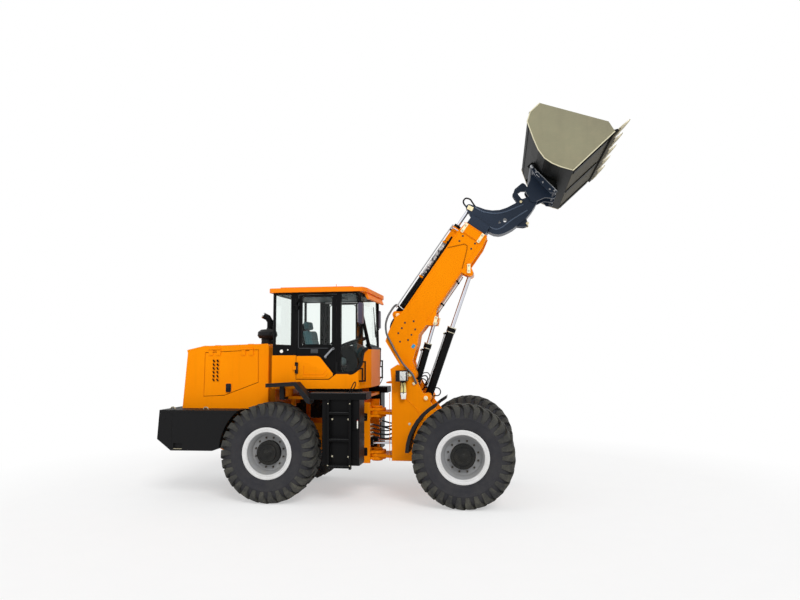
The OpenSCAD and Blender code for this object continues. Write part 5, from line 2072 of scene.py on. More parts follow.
    def build(self) -> None:
        """Builds the cab's trim."""
        shop, rear = self.shop, "rear_chassis"
        shop.piece("sill_seals", self.seals(), "seal", rear, "black_plastic")
        shop.piece("screen_seals", self.front_seals(), "seal", rear, "black_plastic")
        shop.piece("wiper", self.wiper(), "plastic", rear, "black_plastic")
        shop.piece("mirror_arms", self.mirror_arms(), "black", rear, "black_paint",
                   ["cab_mirrors"])
        shop.piece("mirror_shells", self.mirror_shells(), "shell", rear, "black_plastic")
        shop.piece("mirror_panes", self.mirror_panes(), "mirror", rear)
        shop.piece("waist_reflectors", self.reflectors(), "reflector", rear, "lamp_plastic")
        shop.piece("roof_ribs", self.roof_parts(), "roof_orange", rear, "orange_paint")
        shop.piece("headlining", self.headlining(), "trim", rear)
        shop.piece("cab_skirts", self.skirts(), "seal", rear, "black_plastic")
        shop.piece("deck_handles", self.deck_loops(), "black", rear, "black_paint")


@dataclass
class CabInside:
    """The driver's seat and the controls."""

    shop: Workshop
    seat_x: float = -2090.0
    floor_z: float = 1576.0
    back_hinge: tuple = (-210.0, 0.0, 385.0)
    back_lean: float = 12.0
    pad_corner: float = 26.0
    pad_step: float = 60.0
    voxel: float = 0.006
    pressure: float = 4.0
    frames: int = 20
    cap: float = 14.0
    seam_width: float = 9.0
    seam_depth: float = 9.0
    side_seam: float = 90.0

    def seat_view(self) -> Frame:
        """Returns the seat's own frame."""
        return MACHINE.sub(self.seat_x, self.floor_z)

    def pad(self, name: str, low: Point, high: Point, tilt: float, pivot: Point,
            channels: Sequence[float]) -> bpy.types.Object:
        """Makes one upholstered pad and inflates it.

        Args:
            name: Its name.
            low: Its lowest corner in the seat's frame.
            high: Its highest corner.
            tilt: How far it leans back, in degrees.
            pivot: The point it leans about.
            channels: Places of the sewn channels, as shares of its length.

        Returns:
            The pad's object.
        """
        part = bmesh.new()
        a, b = Vector(low), Vector(high)
        bmesh.ops.create_cube(part, size=1.0, matrix=Matrix.LocRotScale((a + b) / 2, None, b - a))
        bmesh.ops.bevel(part, geom=list(part.edges), offset=self.pad_corner, offset_type="OFFSET",
                        segments=4,
                        profile=0.5, affect="EDGES", clamp_overlap=True, material=-1)
        bmesh.ops.subdivide_edges(part, cuts=6, use_grid_fill=True,
                                  edges=[e for e in part.edges
                                         if e.calc_length() > self.pad_step])
        lean = Matrix.Translation(Vector(pivot)) @ Matrix.Rotation(math.radians(-tilt), 4, "Y")
        view = self.seat_view().matrix()
        bmesh.ops.transform(part, matrix=view @ lean, verts=part.verts)
        mesh = bpy.data.meshes.new(name)
        part.to_mesh(mesh)
        part.free()
        made = placed(name, mesh)
        self.remesh(made)
        self.inflate(made)
        self.sew(made, view @ lean, a, b, channels)
        made.modifiers.new("soft", "SUBSURF").render_levels = 1
        made.modifiers["soft"].levels = 1
        made.data.shade_smooth()
        made.data.materials.append(self.shop.palette["cloth"])
        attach(made, "rear_chassis")
        self.shop.made.append(name)
        LOG.info("pad %s, %d faces", name, len(made.data.polygons))
        return made

    def settle(self, made: bpy.types.Object) -> bpy.types.Mesh:
        """Returns the object's mesh as its modifiers make it."""
        graph = bpy.context.evaluated_depsgraph_get()
        return bpy.data.meshes.new_from_object(made.evaluated_get(graph))

    def remesh(self, made: bpy.types.Object) -> None:
        """Gives a pad an even skin.

        Args:
            made: The pad.
        """
        even = made.modifiers.new("even", "REMESH")
        even.mode = "VOXEL"
        even.voxel_size = self.voxel * 1
        skin = self.settle(made)
        made.modifiers.clear()
        made.data = skin

    def inflate(self, made: bpy.types.Object) -> None:
        """Swells a pad under pressure, with a cap on how far a point may move.

        Args:
            made: The pad.
        """
        scene = bpy.context.scene
        cloth = made.modifiers.new("Cloth", "CLOTH")
        cloth.settings.use_pressure = True
        cloth.settings.uniform_pressure_force = self.pressure
        cloth.settings.effector_weights.gravity = 0.0
        cloth.settings.quality = 4
        cloth.point_cache.frame_start = 1
        cloth.point_cache.frame_end = self.frames
        for step in range(1, self.frames + 1):
            scene.frame_set(step)
        skin = self.settle(made)
        for before, after in zip(made.data.vertices, skin.vertices):
            way = after.co - before.co
            if way.length > self.cap * MM:
                after.co = before.co + way.normalized() * self.cap * MM
        made.modifiers.clear()
        made.data = skin
        scene.frame_set(1)

    def sew(self, made: bpy.types.Object, place: Matrix, low: Vector, high: Vector,
            channels: Sequence[float]) -> None:
        """Presses the sewn channels into a pad's long faces.

        Args:
            made: The pad.
            place: The matrix from the pad's own millimetres to the scene.
            low: Its lowest corner.
            high: Its highest corner.
            channels: Where the channels run, as shares of its length.
        """
        back = place.inverted()
        long = 2 if high.z - low.z > high.x - low.x else 0
        span = high[long] - low[long]
        for vert in made.data.vertices:
            here = back @ vert.co
            depth = 0.0
            for share in channels:
                off = (here[long] - low[long] - share * span) / self.seam_width
                depth += math.exp(-off * off)
            for y in (low.y + self.side_seam, high.y - self.side_seam):
                off = (here.y - y) / self.seam_width
                depth += 0.8 * math.exp(-off * off)
            across = 0 if long == 2 else 2
            middle = (low[across] + high[across]) / 2
            pull = -self.seam_depth * min(depth, 1.2) * (1 if here[across] > middle else -1)
            here[across] += pull * (1 if abs(here[across] - middle) > 25 else 0)
            vert.co = place @ here

    def seat_base(self) -> Shape:
        """Returns the suspension box, its bellows and the seat's shells.

        Returns:
            The shape.
        """
        made = Shape(self.seat_view())
        made.block((-190, -170, 0), (150, 170, 60), 8)
        for k in range(6):
            grow = 10 if k % 2 else 0
            made.block((-176 - grow, -156 - grow, 60 + k * 30),
                       (136 + grow, 156 + grow, 90 + k * 30), 8)
        made.block((-232, -236, 240), (250, 236, 268), 10, 3)
        return made

    def seat_arms(self) -> Shape:
        """Returns the arm rests and the back's shell.

        Returns:
            The shape.
        """
        made = Shape(self.seat_view())
        turn = Matrix.Rotation(math.radians(-self.back_lean), 4, "Y")
        lean = Matrix.Translation(self.back_hinge) @ turn
        made.block((-72, -225, 10), (-52, 225, 540), 9, 3, turn=lean)
        for y in (-250, 250):
            made.block((-190, y - 26, 520), (120, y + 26, 556), 14, 4)
            made.tube([(-200, y, 400), (-196, y, 470), (-170, y, 530)], 13, 10)
        return made

    def console(self) -> Shape:
        """Returns the cowl round the steering column with its panel and stalks.

        Returns:
            The shape.
        """
        made = Shape(MACHINE.sub(-1585, self.floor_z))
        made.block((-20, -140, 0), (160, 140, 300), 22, 4)
        cowl = [(10, 290), (150, 290), (150, 420), (40, 560), (-60, 600), (-96, 572), (-30, 440)]
        made.plate(cowl, -110, 110, 18, 3)
        made.block((-70, -150, 560), (60, 150, 604), 12, 3,
                   turn=Matrix.Rotation(math.radians(18), 4, "Y"))
        for side in SIDES:
            made.tube([(-60, side * 40, 560), (-90, side * 150, 585)], 8, 8)
            made.rod((-90, side * 150, 585), (-96, side * 172, 590), 13, 12, 4)
        return made

    def pedals(self) -> Shape:
        """Returns the pedals and the floor mat.

        Returns:
            The shape.
        """
        made = Shape(MACHINE)
        made.block((-2560, -640, 1577), (-1470, 640, 1588), 4)
        tilt = Matrix.Rotation(math.radians(-35), 4, "Y")
        for y in (-200, 210):
            place = Matrix.Translation((-1560, y, 1640)) @ tilt
            made.block((-50, -38, -6), (60, 38, 8), 5, 2, turn=place)
            made.tube([(-1545, y, 1640), (-1500, y, 1610), (-1490, y, 1585)], 10, 8)
        return made

    def levers(self) -> Shape:
        """Returns the right-hand console with its control lever.

        Returns:
            The shape.
        """
        made = Shape(MACHINE)
        made.block((-2230, -470, 1588), (-1840, -300, 2010), 26, 4)
        made.block((-2200, -455, 2005), (-1870, -315, 2030), 12, 3)
        made.tube([(-1950, -385, 2020), (-1935, -385, 2110), (-1915, -388, 2160)], 9, 10)
        made.rod((-1918, -387, 2150), (-1900, -390, 2212), 20, 16, 8)
        made.tube([(-2050, -385, 2020), (-2040, -385, 2085)], 7, 8)
        return made.rod((-2042, -385, 2078), (-2036, -385, 2112), 15, 16, 6)

    def build(self) -> None:
        """Builds the cab's inside."""
        shop, rear = self.shop, "rear_chassis"
        back = (self.back_lean, self.back_hinge)
        squab = self.pad("seat_squab", (-225, -235, 276), (245, 235, 374), 0, CENTRE, (0.3, 0.62))
        self.pad("seat_back", (-44, -225, 16), (54, 225, 420), *back, (0.3, 0.6))
        self.pad("head_rest", (-34, -140, 436), (44, 140, 556), *back, ())
        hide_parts("driver_seat")
        shop.piece("seat_suspension", self.seat_base(), "plastic", rear, "black_plastic")
        shop.piece("seat_shell", self.seat_arms(), "plastic", rear, "black_plastic")
        shop.piece("steering_cowl", self.console(), "trim", rear)
        shop.piece("floor_and_pedals", self.pedals(), "seal", rear)
        shop.piece("lever_console", self.levers(), "plastic", rear, "black_plastic")


@dataclass
class Boarding:
    """The decks, ladders and side boxes."""

    shop: Workshop
    face: float = 960.0
    rail: float = 1020.0

    def tread_plates(self) -> Shape:
        """Returns the gripping plates on the decks and rungs.

        Returns:
            The shape.
        """
        made = Shape(MACHINE)
        for side in SIDES:
            made.block((-2056, 645, 1489), (-1289, 984, 1494), 1.5, side=side)
            for z in (521, 876, 1231):
                made.block((-1786, 962, z - 1), (-1522, 1019, z + 3), 1, side=side)
        return made

    def box_doors(self) -> Shape:
        """Returns the side boxes' lids with hinges and edges.

        Returns:
            The shape.
        """
        made = Shape(MACHINE)
        for side in SIDES:
            made.block((-1886, self.face - 2, 545), (-1830, self.face + 5, 1380), 3, side=side)
            made.block((-1782, self.face - 2, 545), (-1526, self.face + 5, 840), 3, side=side)
            made.block((-1782, self.face - 2, 905), (-1526, self.face + 5, 1190), 3, side=side)
            made.block((-1482, self.face - 2, 1016), (-1398, self.face + 5, 1380), 3, side=side)
            for z in (640, 1100):
                made.rod((-1890, side * (self.face + 4), z - 40),
                         (-1890, side * (self.face + 4), z + 40),
                         9, 12)
        return made

    def bolts(self) -> Shape:
        """Returns the bright bolts of the ladders and boxes.

        Returns:
            The shape.
        """
        made = Shape(MACHINE)
        for side in SIDES:
            way = (0, side, 0)
            for x, z in ((-1757, 1137), (-1533, 1137), (-1757, 645), (-1533, 640)):
                made.bolt((x, side * (self.face + 4), z), way, 18)
            for x in (-1804, -1504):
                for z in (1350, 530):
                    made.bolt((x, side * self.rail, z), way, 11)
        return made

    def strips(self) -> Shape:
        """Returns the upright reflective strips.

        Returns:
            The shape.
        """
        made = Shape(MACHINE)
        for side in SIDES:
            made.block((-1416, self.face - 21, 918), (-1402, self.face - 17, 996), 1.5, side=side)
            made.block((-1416, self.face + 4, 1018), (-1402, self.face + 7, 1118), 1.5, side=side)
        return made

    def red_ends(self) -> Shape:
        """Returns the red ends of the reflective strips.

        Returns:
            The shape.
        """
        made = Shape(MACHINE)
        for side in SIDES:
            made.block((-1416, self.face + 4, 1120), (-1402, self.face + 7, 1130), 1.5, side=side)
        return made

    def deck_edges(self) -> Shape:
        """Returns the pale worn edges of the decks.

        Returns:
            The shape.
        """
        made = Shape(MACHINE)
        for side in SIDES:
            made.tube([(-2054, side * 987, 1489), (-1292, side * 987, 1489)], 5, 6)
        return made

    def fender_lips(self) -> Shape:
        """Returns the rolled lips and stay bolts of the rear fenders.

        Returns:
            The shape.
        """
        made = Shape(MACHINE)
        outer = [(-2696, 1568), (-2290, 1588), (-2104, 1352)]
        upper = [(-2696, 1606), (-2269, 1632), (-2066, 1404)]
        for side in SIDES:
            made.tube([(x, side * 998, z) for x, z in upper], 8, 8)
            made.tube([(x, side * 998, z) for x, z in outer], 8, 8)
            made.bolt((-2140, side * 998, 1440), (0, side, 0), 22)
        return made

    def build(self) -> None:
        """Builds the steps' pieces."""
        shop, rear = self.shop, "rear_chassis"
        shop.piece("tread_plates", self.tread_plates(), "grip", rear, "black_paint")
        shop.piece("box_lids", self.box_doors(), "black", rear, "black_paint")
        shop.piece("ladder_bolts", self.bolts(), "zinc", rear)
        shop.piece("side_strips", self.strips(), "reflector", rear, "lamp_plastic")
        shop.piece("side_strip_ends", self.red_ends(), "red", rear, "lamp_plastic")
        shop.piece("deck_edges", self.deck_edges(), "edge", rear, "black_paint")
        shop.piece("fender_lips", self.fender_lips(), "plastic", rear, "black_plastic")


# ---------------------------------------------------------------- front body

@dataclass
class CentreHinge:
    """The stop blocks, the hoses and their fittings between the two chassis."""

    shop: Workshop
    rear_face: float = -1358.0
    front_face: float = -960.0
    stop_near: float = 330.0
    stop_out: float = 392.0
    hoses: tuple = (("a", RIGHT, 1008.0, 11.0, 350.0, 236.0),
                    ("b", RIGHT, 952.0, 9.0, 346.0, 205.0),
                    ("c", RIGHT, 896.0, 12.0, 352.0, 240.0),
                    ("d", RIGHT, 842.0, 9.0, 346.0, 210.0),
                    ("e", LEFT, 990.0, 11.0, 350.0, 236.0), ("f", LEFT, 900.0, 11.0, 350.0, 236.0))

    def route(self, side: int, z: float, start_y: float, end_y: float) -> list[tuple]:
        """Returns the corners that one hose runs through, from the rear to the front.

        Args:
            side: The side it runs on.
            z: Its height at both ends.
            start_y: How far out it starts.
            end_y: How far out it ends.

        Returns:
            The corners.
        """
        back, front = self.rear_face, self.front_face
        line = [(back, start_y, z), (back + 50, start_y + 4, z - 2),
                (back + 130, start_y - 6, z - 22),
                (back + 230, start_y - 48, z - 36), (front - 110, end_y + 22, z - 28),
                (front - 45, end_y + 3, z - 4), (front, end_y, z)]
        return mirrored(line, side)

    def blocks(self) -> Shape:
        """Returns the stop blocks on the rear chassis.

        Returns:
            The shape.
        """
        made = Shape(MACHINE)
        for side in SIDES:
            for x0, z0, z1 in ((-1465, 1059, 1171), (-1487, 566, 684)):
                made.block((x0, self.stop_near, z0), (-1394, self.stop_out, z1), 9, 3, side=side)
        return made

    def block_bolts(self) -> Shape:
        """Returns the bolts of the stop blocks.

        Returns:
            The shape.
        """
        made = Shape(MACHINE)
        for side in SIDES:
            for x, z in ((-1430, 1090), (-1430, 1140), (-1450, 600), (-1450, 650)):
                made.bolt((x, side * self.stop_out, z), (0, side, 0), 18)
        return made

    def fittings(self, way: int) -> Shape:
        """Returns the hose fittings on the rear chassis (way 1) or the front one (way -1).

        Args:
            way: Which chassis they stand on.

        Returns:
            The shape.
        """
        made = Shape(MACHINE)
        for _, side, z, radius, start_y, end_y in self.hoses:
            line = self.route(side, z, start_y, end_y)
            foot = Vector(line[0] if way > 0 else line[-1])
            made.rod(foot - Vector((way * 6, 0, 0)), foot + Vector((way * 14, 0, 0)), radius + 7,
                     6, 1.5)
            made.rod(foot + Vector((way * 14, 0, 0)), foot + Vector((way * 44, 0, 0)), radius + 3,
                     14, 2)
        return made

    def build(self) -> None:
        """Builds the hinge's pieces."""
        shop = self.shop
        shop.piece("hinge_stops", self.blocks(), "black", "rear_chassis", "black_paint")
        shop.piece("hinge_stop_bolts", self.block_bolts(), "bolt", "rear_chassis")
        shop.piece("rear_hose_fittings", self.fittings(1), "zinc", "rear_chassis")
        shop.piece("front_hose_fittings", self.fittings(-1), "zinc", "front_chassis")
        for name, side, z, radius, start_y, end_y in self.hoses:
            shop.hose(f"centre_hose_{name}", self.route(side, z, start_y, end_y), radius, MACHINE,
                      "rear_chassis", "front_chassis")


@dataclass
class Tower:
    """The front tower's lamps, pin caps, seams and lift hoses."""

    shop: Workshop
    pins: tuple = ((-785.0, 1717.0, 30.0, 341.0), (-555.0, 1385.0, 30.0, 341.0),
                   (-725.0, 1590.0, 22.0, 337.0))
    loop_at: tuple = (-425.0, 1462.0)
    hoses: tuple = (
        ("a", 9, ((-650, -289, 1470), (-650, -262, 1476), (-672, -190, 1520), (-680, -130, 1600),
                  (-640, -95, 1680), (-575, -80, 1690), (-560, -60, 1630), (-590, -20, 1570),
                  (-590, 0, 1528))),
        ("b", 7, ((-650, 289, 1480), (-650, 262, 1486), (-640, 200, 1540), (-596, 150, 1606),
                  (-548, 122, 1670), (-572, 104, 1730), (-646, 94, 1722), (-668, 86, 1650),
                  (-630, 80, 1570), (-548, 70, 1490))),
        ("c", 8, ((-690, -289, 1530), (-690, -262, 1536), (-690, -200, 1600), (-650, -160, 1650),
                  (-590, -140, 1640), (-560, -110, 1580), (-600, -80, 1520), (-640, -75, 1480),
                  (-612, -70, 1415))))

    def lamp_trim(self) -> Shape:
        """Returns the lamps' bezels, guards and the indicators' bases.

        Returns:
            The shape.
        """
        made = Shape(MACHINE)
        for side in SIDES:
            for z0, z1 in ((1628, 1640), (1765, 1777)):
                made.block((-818, 372, z0), (-800, 528, z1), 4, side=side)
            for y in (376, 524):
                made.block((-818, y - 6, 1632), (-800, y + 6, 1773), 4, side=side)
            made.block((-952, 524, 1640), (-826, 534, 1766), 8, 3, side=side)
            made.block((-916, 334, 1400), (-844, 393, 1550), 7, 3, side=side)
        return made

    def lamp_lens(self) -> Shape:
        """Returns the lamps' ribbed lenses.

        Returns:
            The shape.
        """
        made = Shape(MACHINE)
        for side in SIDES:
            made.block((-822, 383, 1638), (-804, 517, 1768), 7, 3, side=side)
        return made

    def indicators(self) -> Shape:
        """Returns the direction indicators' lenses.

        Returns:
            The shape.
        """
        made = Shape(MACHINE)
        for side in SIDES:
            made.plate([(-904, 1606), (-838, 1606), (-826, 1468), (-910, 1468)], 388, 404, 5, 2,
                       side=side)
        return made

    def indicator_reds(self) -> Shape:
        """Returns the position lamps under the indicators.

        Returns:
            The shape.
        """
        made = Shape(MACHINE)
        for side in SIDES:
            made.plate([(-910, 1462), (-826, 1462), (-836, 1372), (-900, 1372)], 388, 403, 5, 2,
                       side=side)
        return made

    def lamp_sides(self) -> Shape:
        """Returns the lamps' side lenses.

        Returns:
            The shape.
        """
        made = Shape(MACHINE)
        for side in SIDES:
            made.block((-900, 528, 1640), (-814, 537, 1768), 4, 2, side=side)
        return made

    def lamp_mirrors(self) -> Shape:
        """Returns the bright bows of the lamps' reflectors.

        Returns:
            The shape.
        """
        made = Shape(MACHINE)
        for side in SIDES:
            bow = [(-886, side * 537, 1758), (-872, side * 538, 1700), (-846, side * 538, 1664),
                   (-822, side * 537, 1648)]
            made.tube(smoothed(bow, 4), 7, 8)
        return made

    def cables(self) -> Shape:
        """Returns the short cables over the indicators.

        Returns:
            The shape.
        """
        made = Shape(MACHINE)
        for side in SIDES:
            line = [(-880, side * 400, 1628), (-878, side * 408, 1590), (-866, side * 408, 1530),
                    (-868, side * 406, 1450)]
            made.tube(smoothed(line, 4), 5, 8)
        return made

    def caps(self) -> Shape:
        """Returns the pins' turned caps.

        Returns:
            The shape.
        """
        made = Shape(MACHINE)
        for side in SIDES:
            for x, z, r, y in self.pins:
                section = [(0, 12), (r * 0.45, 12), (r * 0.5, 9), (r * 0.86, 9), (r, 4), (r, -3),
                           (0, -3)]
                made.turned(section, (x, side * y, z), (0, side, 0), 40)
        return made

    def cap_bolts(self) -> Shape:
        """Returns the bolts that hold the caps and the fenders' stays.

        Returns:
            The shape.
        """
        made = Shape(MACHINE)
        for side in SIDES:
            for x, z, r, y in self.pins:
                for k in range(3):
                    a = math.radians(90 + 120 * k)
                    made.bolt((x + r * 0.66 * math.cos(a), side * (y + 9),
                               z + r * 0.66 * math.sin(a)), (0, side, 0), 9, False)
            made.bolt((-754, side * 598, 1046), (0, side, 0), 26)
        return made

    def seams(self) -> Shape:
        """Returns the weld seams and stiffening edges of the tower's cheeks.

        Returns:
            The shape.
        """
        made = Shape(MACHINE)
        for side in SIDES:
            y = side * 331
            made.tube(smoothed([(-1040, y, 1475), (-930, y, 1440), (-700, y, 1240),
                                (-640, y, 1080),
                                (-640, y, 760)]), 5, 6)
            made.tube([(-1080, y, 1455), (-1080, y, 500)], 4, 6)
        return made

    def build(self) -> None:
        """Builds the tower's pieces."""
        shop, body = self.shop, "front_chassis"
        shop.piece("lamp_bezels", self.lamp_trim(), "plastic", body, "lamp_plastic")
        shop.piece("lamp_lenses", self.lamp_lens(), "lens", body)
        shop.piece("indicators", self.indicators(), "amber", body, "lamp_plastic")
        shop.piece("position_lamps", self.indicator_reds(), "reflector", body, "lamp_plastic")
        shop.piece("lamp_side_lenses", self.lamp_sides(), "lens", body)
        shop.piece("lamp_reflectors", self.lamp_mirrors(), "mirror", body)
        shop.piece("indicator_cables", self.cables(), "hose", body)
        shop.piece("tower_pin_caps", self.caps(), "cream", body)
        shop.piece("tower_cap_bolts", self.cap_bolts(), "zinc", body)
        shop.piece("tower_seams", self.seams(), "orange", body, "orange_paint")
        for name, radius, points in self.hoses:
            shop.hose(f"lift_hose_{name}", points, radius, MACHINE, body, "lift_barrel")
        ring = arc(self.loop_at, 58, 200, -110, 10)
        loop = [(-496, -92, 1398), (-490, -96, 1424), *[(x, -96, z) for x, z in ring],
                (-480, -96, 1400)]
        shop.hose("lift_loop", loop, 8, MACHINE, body)


# ---------------------------------------------------------------- telescopic arm

@dataclass
class BoomTrim:
    """What is bolted and clipped to the outer boom."""

    shop: Workshop
    face: float = 190.0
    mouth: float = 204.0
    bolts: tuple = ((656, 411), (565, 505), (474, 498), (571, 324), (383, 498), (475, 325),
                    (384, 322),
                    (296, 407))
    mouth_bolts: tuple = ((2094, 527), (2179, 422), (2004, 527), (2097, 315), (2004, 318))
    belly: float = 124.0
    cylinder_v: float = 706.0
    guard: tuple = ((1884, 640), (2154, 640), (2154, 690), (2110, 742), (1930, 742), (1884, 700))
    wear_plates: tuple = ((2204, 575), (2206, 291))
    doubler: tuple = ((1825, 615), (2007, 441), (2010, 392), (1954, 360), (1690, 262))
    heel: tuple = ((266, 208, 618), (206, 212, 500), (146, 236, 379), (106, 296, 268),
                   (76, 346, 182),
                   (48, 360, 66), (30, 360, -24), (-8, 360, -92), (-34, 352, -128),
                   (-48, 333, -146))
    port_side: tuple = ((704, 2, 772), (700, 8, 796), (655, 60, 800), (580, 110, 790),
                        (500, 150, 776),
                        (410, 184, 742), (336, 202, 692))
    pipe_side: tuple = ((762, 115, 661), (710, 116, 668), (640, 120, 694), (560, 134, 716),
                        (470, 158, 728), (390, 186, 716), (330, 202, 680))

    def side_bolts(self) -> Shape:
        """Returns the adjusting bolts of the slide pads.

        Returns:
            The shape.
        """
        made = Shape(BOOM)
        for side in SIDES:
            for u, v in (*self.bolts, *self.mouth_bolts):
                made.bolt((u, side * self.face, v), (0, side, 0), 20)
        return made

    def pad_plates(self) -> Shape:
        """Returns the pale end plates of the slide pads and the pins' keeper plates.

        Returns:
            The shape.
        """
        made = Shape(BOOM)
        for side in SIDES:
            for u, v in self.wear_plates:
                made.block((u - 77, self.mouth - 2, v - 22), (u + 77, self.mouth + 9, v + 22), 9,
                           3, side=side)
            for u, v, angle, half in ((1744, 182, 34, 68), (845, 151, 21, 64)):
                place = Matrix.Translation((u, 0, v)) @ Matrix.Rotation(-math.radians(angle), 4,
                                                                        "Y")
                made.block((-half, 196, -24), (half, 212, 24), 14, 4, turn=place, side=side)
        for start in (-118, 106):
            made.rod((591, start, 672), (591, start + 12, 672), 30, 32, 4)
        return made

    def plate_bolts(self) -> Shape:
        """Returns the bolts through the pale plates.

        Returns:
            The shape.
        """
        made = Shape(BOOM)
        for side in SIDES:
            for u, v in ((2240, 578), (2154, 574), (2250, 293), (2157, 290)):
                made.bolt((u, side * (self.mouth + 8), v), (0, side, 0), 20)
            for u, v in ((1781, 205), (1718, 163), (885, 165), (806, 137)):
                made.bolt((u, side * 211, v), (0, side, 0), 20)
        return made

    def seams(self) -> Shape:
        """Returns the long weld seams and the mouth frame's edges.

        Returns:
            The shape.
        """
        made = Shape(BOOM)
        for side in SIDES:
            y = side * (self.face + 1)
            made.tube([(760, y, 258), (2128, y, 258)], 4, 6)
            made.tube([(760, y, 612), (2128, y, 612)], 4, 6)
            y = side * (self.mouth + 1)
            for u in (2148, 2272):
                made.tube([(u, y, 246), (u, y, 625)], 3.5, 6)
        return made

    def doubler_edges(self) -> Shape:
        """Returns dark orange lines along the doubler plates' edges, painted shade for the shadow
        beside them.

        Returns:
            The shape.
        """
        made = Shape(BOOM)
        for side in SIDES:
            made.tube([(u, side * (self.face + 1), v) for u, v in self.doubler], 7, 8)
        return made

    def pipes(self) -> Shape:
        """Returns the feed pipe above the extension cylinder and the pipes under the belly.

        Returns:
            The shape.
        """
        made = Shape(BOOM)
        made.tube(smoothed([(712, -100, 634), (712, -100, 700), (728, -100, 748), (775, -100, 762),
                            (2060, -100, 762), (2112, -100, 748), (2128, -100, 700),
                            (2128, -100, 625)], 4), 9, 12)
        for y in (-self.belly, self.belly):
            made.tube([(905, y, 222), (940, y, 216), (1580, y, 216), (1616, y, 222)], 9, 10)
        return made

    def clips(self) -> Shape:
        """Returns the pipe clips.

        Returns:
            The shape.
        """
        made = Shape(BOOM)
        for u in (860, 1120, 1380, 1640, 1900):
            for y in (-132, 132):
                made.block((u - 16, y - 34, 646), (u + 16, y + 34, 680), 5)
                made.bolt((u, y, 680), (0, 0, 1), 16)
        for u in (1100, 1500):
            for y in (-self.belly, self.belly):
                made.block((u - 14, y - 22, 206), (u + 14, y + 22, 238), 5)
        return made

    def sleeve(self) -> Shape:
        """Returns the wrapped sleeve round the extension cylinder.

        Returns:
            The shape.
        """
        steps = 26
        section = [(44.5, 0.0)]
        for k in range(steps + 1):
            section.append((47.4 + 1.3 * math.sin(k * 1.9) + 0.6 * math.sin(k * 5.3),
                            590.0 * k / steps))
        section.append((44.5, 590.0))
        return Shape(BOOM).turned(section, (1290, 0, self.cylinder_v), (1, 0, 0), 28)

    def saddles(self) -> Shape:
        """Returns the guards and the saddles of the extension cylinder.

        Returns:
            The shape.
        """
        made = Shape(BOOM)
        for side in SIDES:
            made.plate(self.guard, 56, 64, 2, side=side)
        for u in (1264, 1886, 2150):
            made.turned([(45, -13), (55, -13), (57, -9), (57, 9), (55, 13), (45, 13)],
                        (u, 0, self.cylinder_v),
                        (1, 0, 0), 32, closed=True)
        return made

    def labels(self) -> Shape:
        """Returns the small blank plates on the boom's sides.

        Returns:
            The shape.
        """
        made = Shape(BOOM)
        for side in SIDES:
            made.block((324, self.face, 184), (382, self.face + 2.5, 228), 1, side=side)
        return made

    def build(self) -> None:
        """Builds the boom's pieces."""
        shop, body = self.shop, "boom"
        shop.piece("boom_pad_bolts", self.side_bolts(), "bolt", body)
        shop.piece("boom_pad_plates", self.pad_plates(), "cream", body)
        shop.piece("boom_plate_bolts", self.plate_bolts(), "zinc", body)
        shop.piece("boom_seams", self.seams(), "orange", body, "orange_paint")
        # Painted shade: dark orange lines beside the doubler plates.
        shop.piece("boom_doubler_edges", self.doubler_edges(), "shadow_orange", body,
                   "orange_paint")
        shop.piece("boom_feed_pipes", self.pipes(), "pipe", body)
        shop.piece("boom_pipe_clips", self.clips(), "black", body, "black_paint")
        shop.piece("extension_sleeve", self.sleeve(), "wrap", body)
        shop.piece("extension_saddles", self.saddles(), "orange", body, "orange_paint")
        shop.piece("boom_blank_plates", self.labels(), "label", body)
        back = MACHINE.matrix().inverted()
        for name, side, start in (("right", RIGHT, self.port_side),
                                  ("left", LEFT, self.pipe_side)):
            upper = [back @ BOOM.at(u, side * y, v) for u, y, v in (*start, *self.heel)]
            shop.hose(f"heel_hose_{name}", upper, 15, MACHINE, body, "front_chassis", "steel_hose",
                      0.55)


@dataclass
class HeadTrim:
    """The gooseneck head's ribs, pin keepers and hose."""

    shop: Workshop
    face: float = 100.0
    upper: tuple = ((2554, 632), (2568, 494), (2640, 337), (2757, 212), (2976, 69))
    lower: tuple = ((2429, 502), (2433, 255), (2495, 150), (2690, 79), (2937, -29))
    loop: tuple = ((2499, 758), (2520, 812), (2552, 839), (2603, 829), (2622, 767), (2600, 710),
                   (2572, 640))

    def ribs(self) -> Shape:
        """Returns the raised edges of the head's cheeks, in a lighter slate as painted highlights.

        Returns:
            The shape.
        """
        made = Shape(BOOM)
        for side in SIDES:
            for line in (self.upper, self.lower):
                made.tube(smoothed([(u, side * self.face, v) for u, v in line], 4), 10, 8)
        return made

    def keepers(self) -> Shape:
        """Returns the pale pin keepers.

        Returns:
            The shape.
        """
        made = Shape(BOOM)
        for side in SIDES:
            place = Matrix.Translation((2506, 0, 684)) @ Matrix.Rotation(math.radians(-8), 4, "Y")
            made.block((-32, self.face + 2, -44), (32, self.face + 12, 44), 30, 6, turn=place,
                       side=side)
            made.bolt((2500, side * (self.face + 11), 700), (0, side, 0), 16)
            made.bolt((2773, side * (self.face + 6), -140), (0, side, 0), 30)
            made.bolt((2984, side * (self.face + 20), 118), (0, side, 0), 26)
        return made

    def build(self) -> None:
        """Builds the head's pieces."""
        shop, body = self.shop, "inner_boom"
        shop.piece("head_ribs", self.ribs(), "slate_edge", body, "slate_paint")
        shop.piece("head_pin_keepers", self.keepers(), "cream", body)
        shop.hose("head_hose", [(u, -60, v) for u, v in self.loop], 12, BOOM, body)


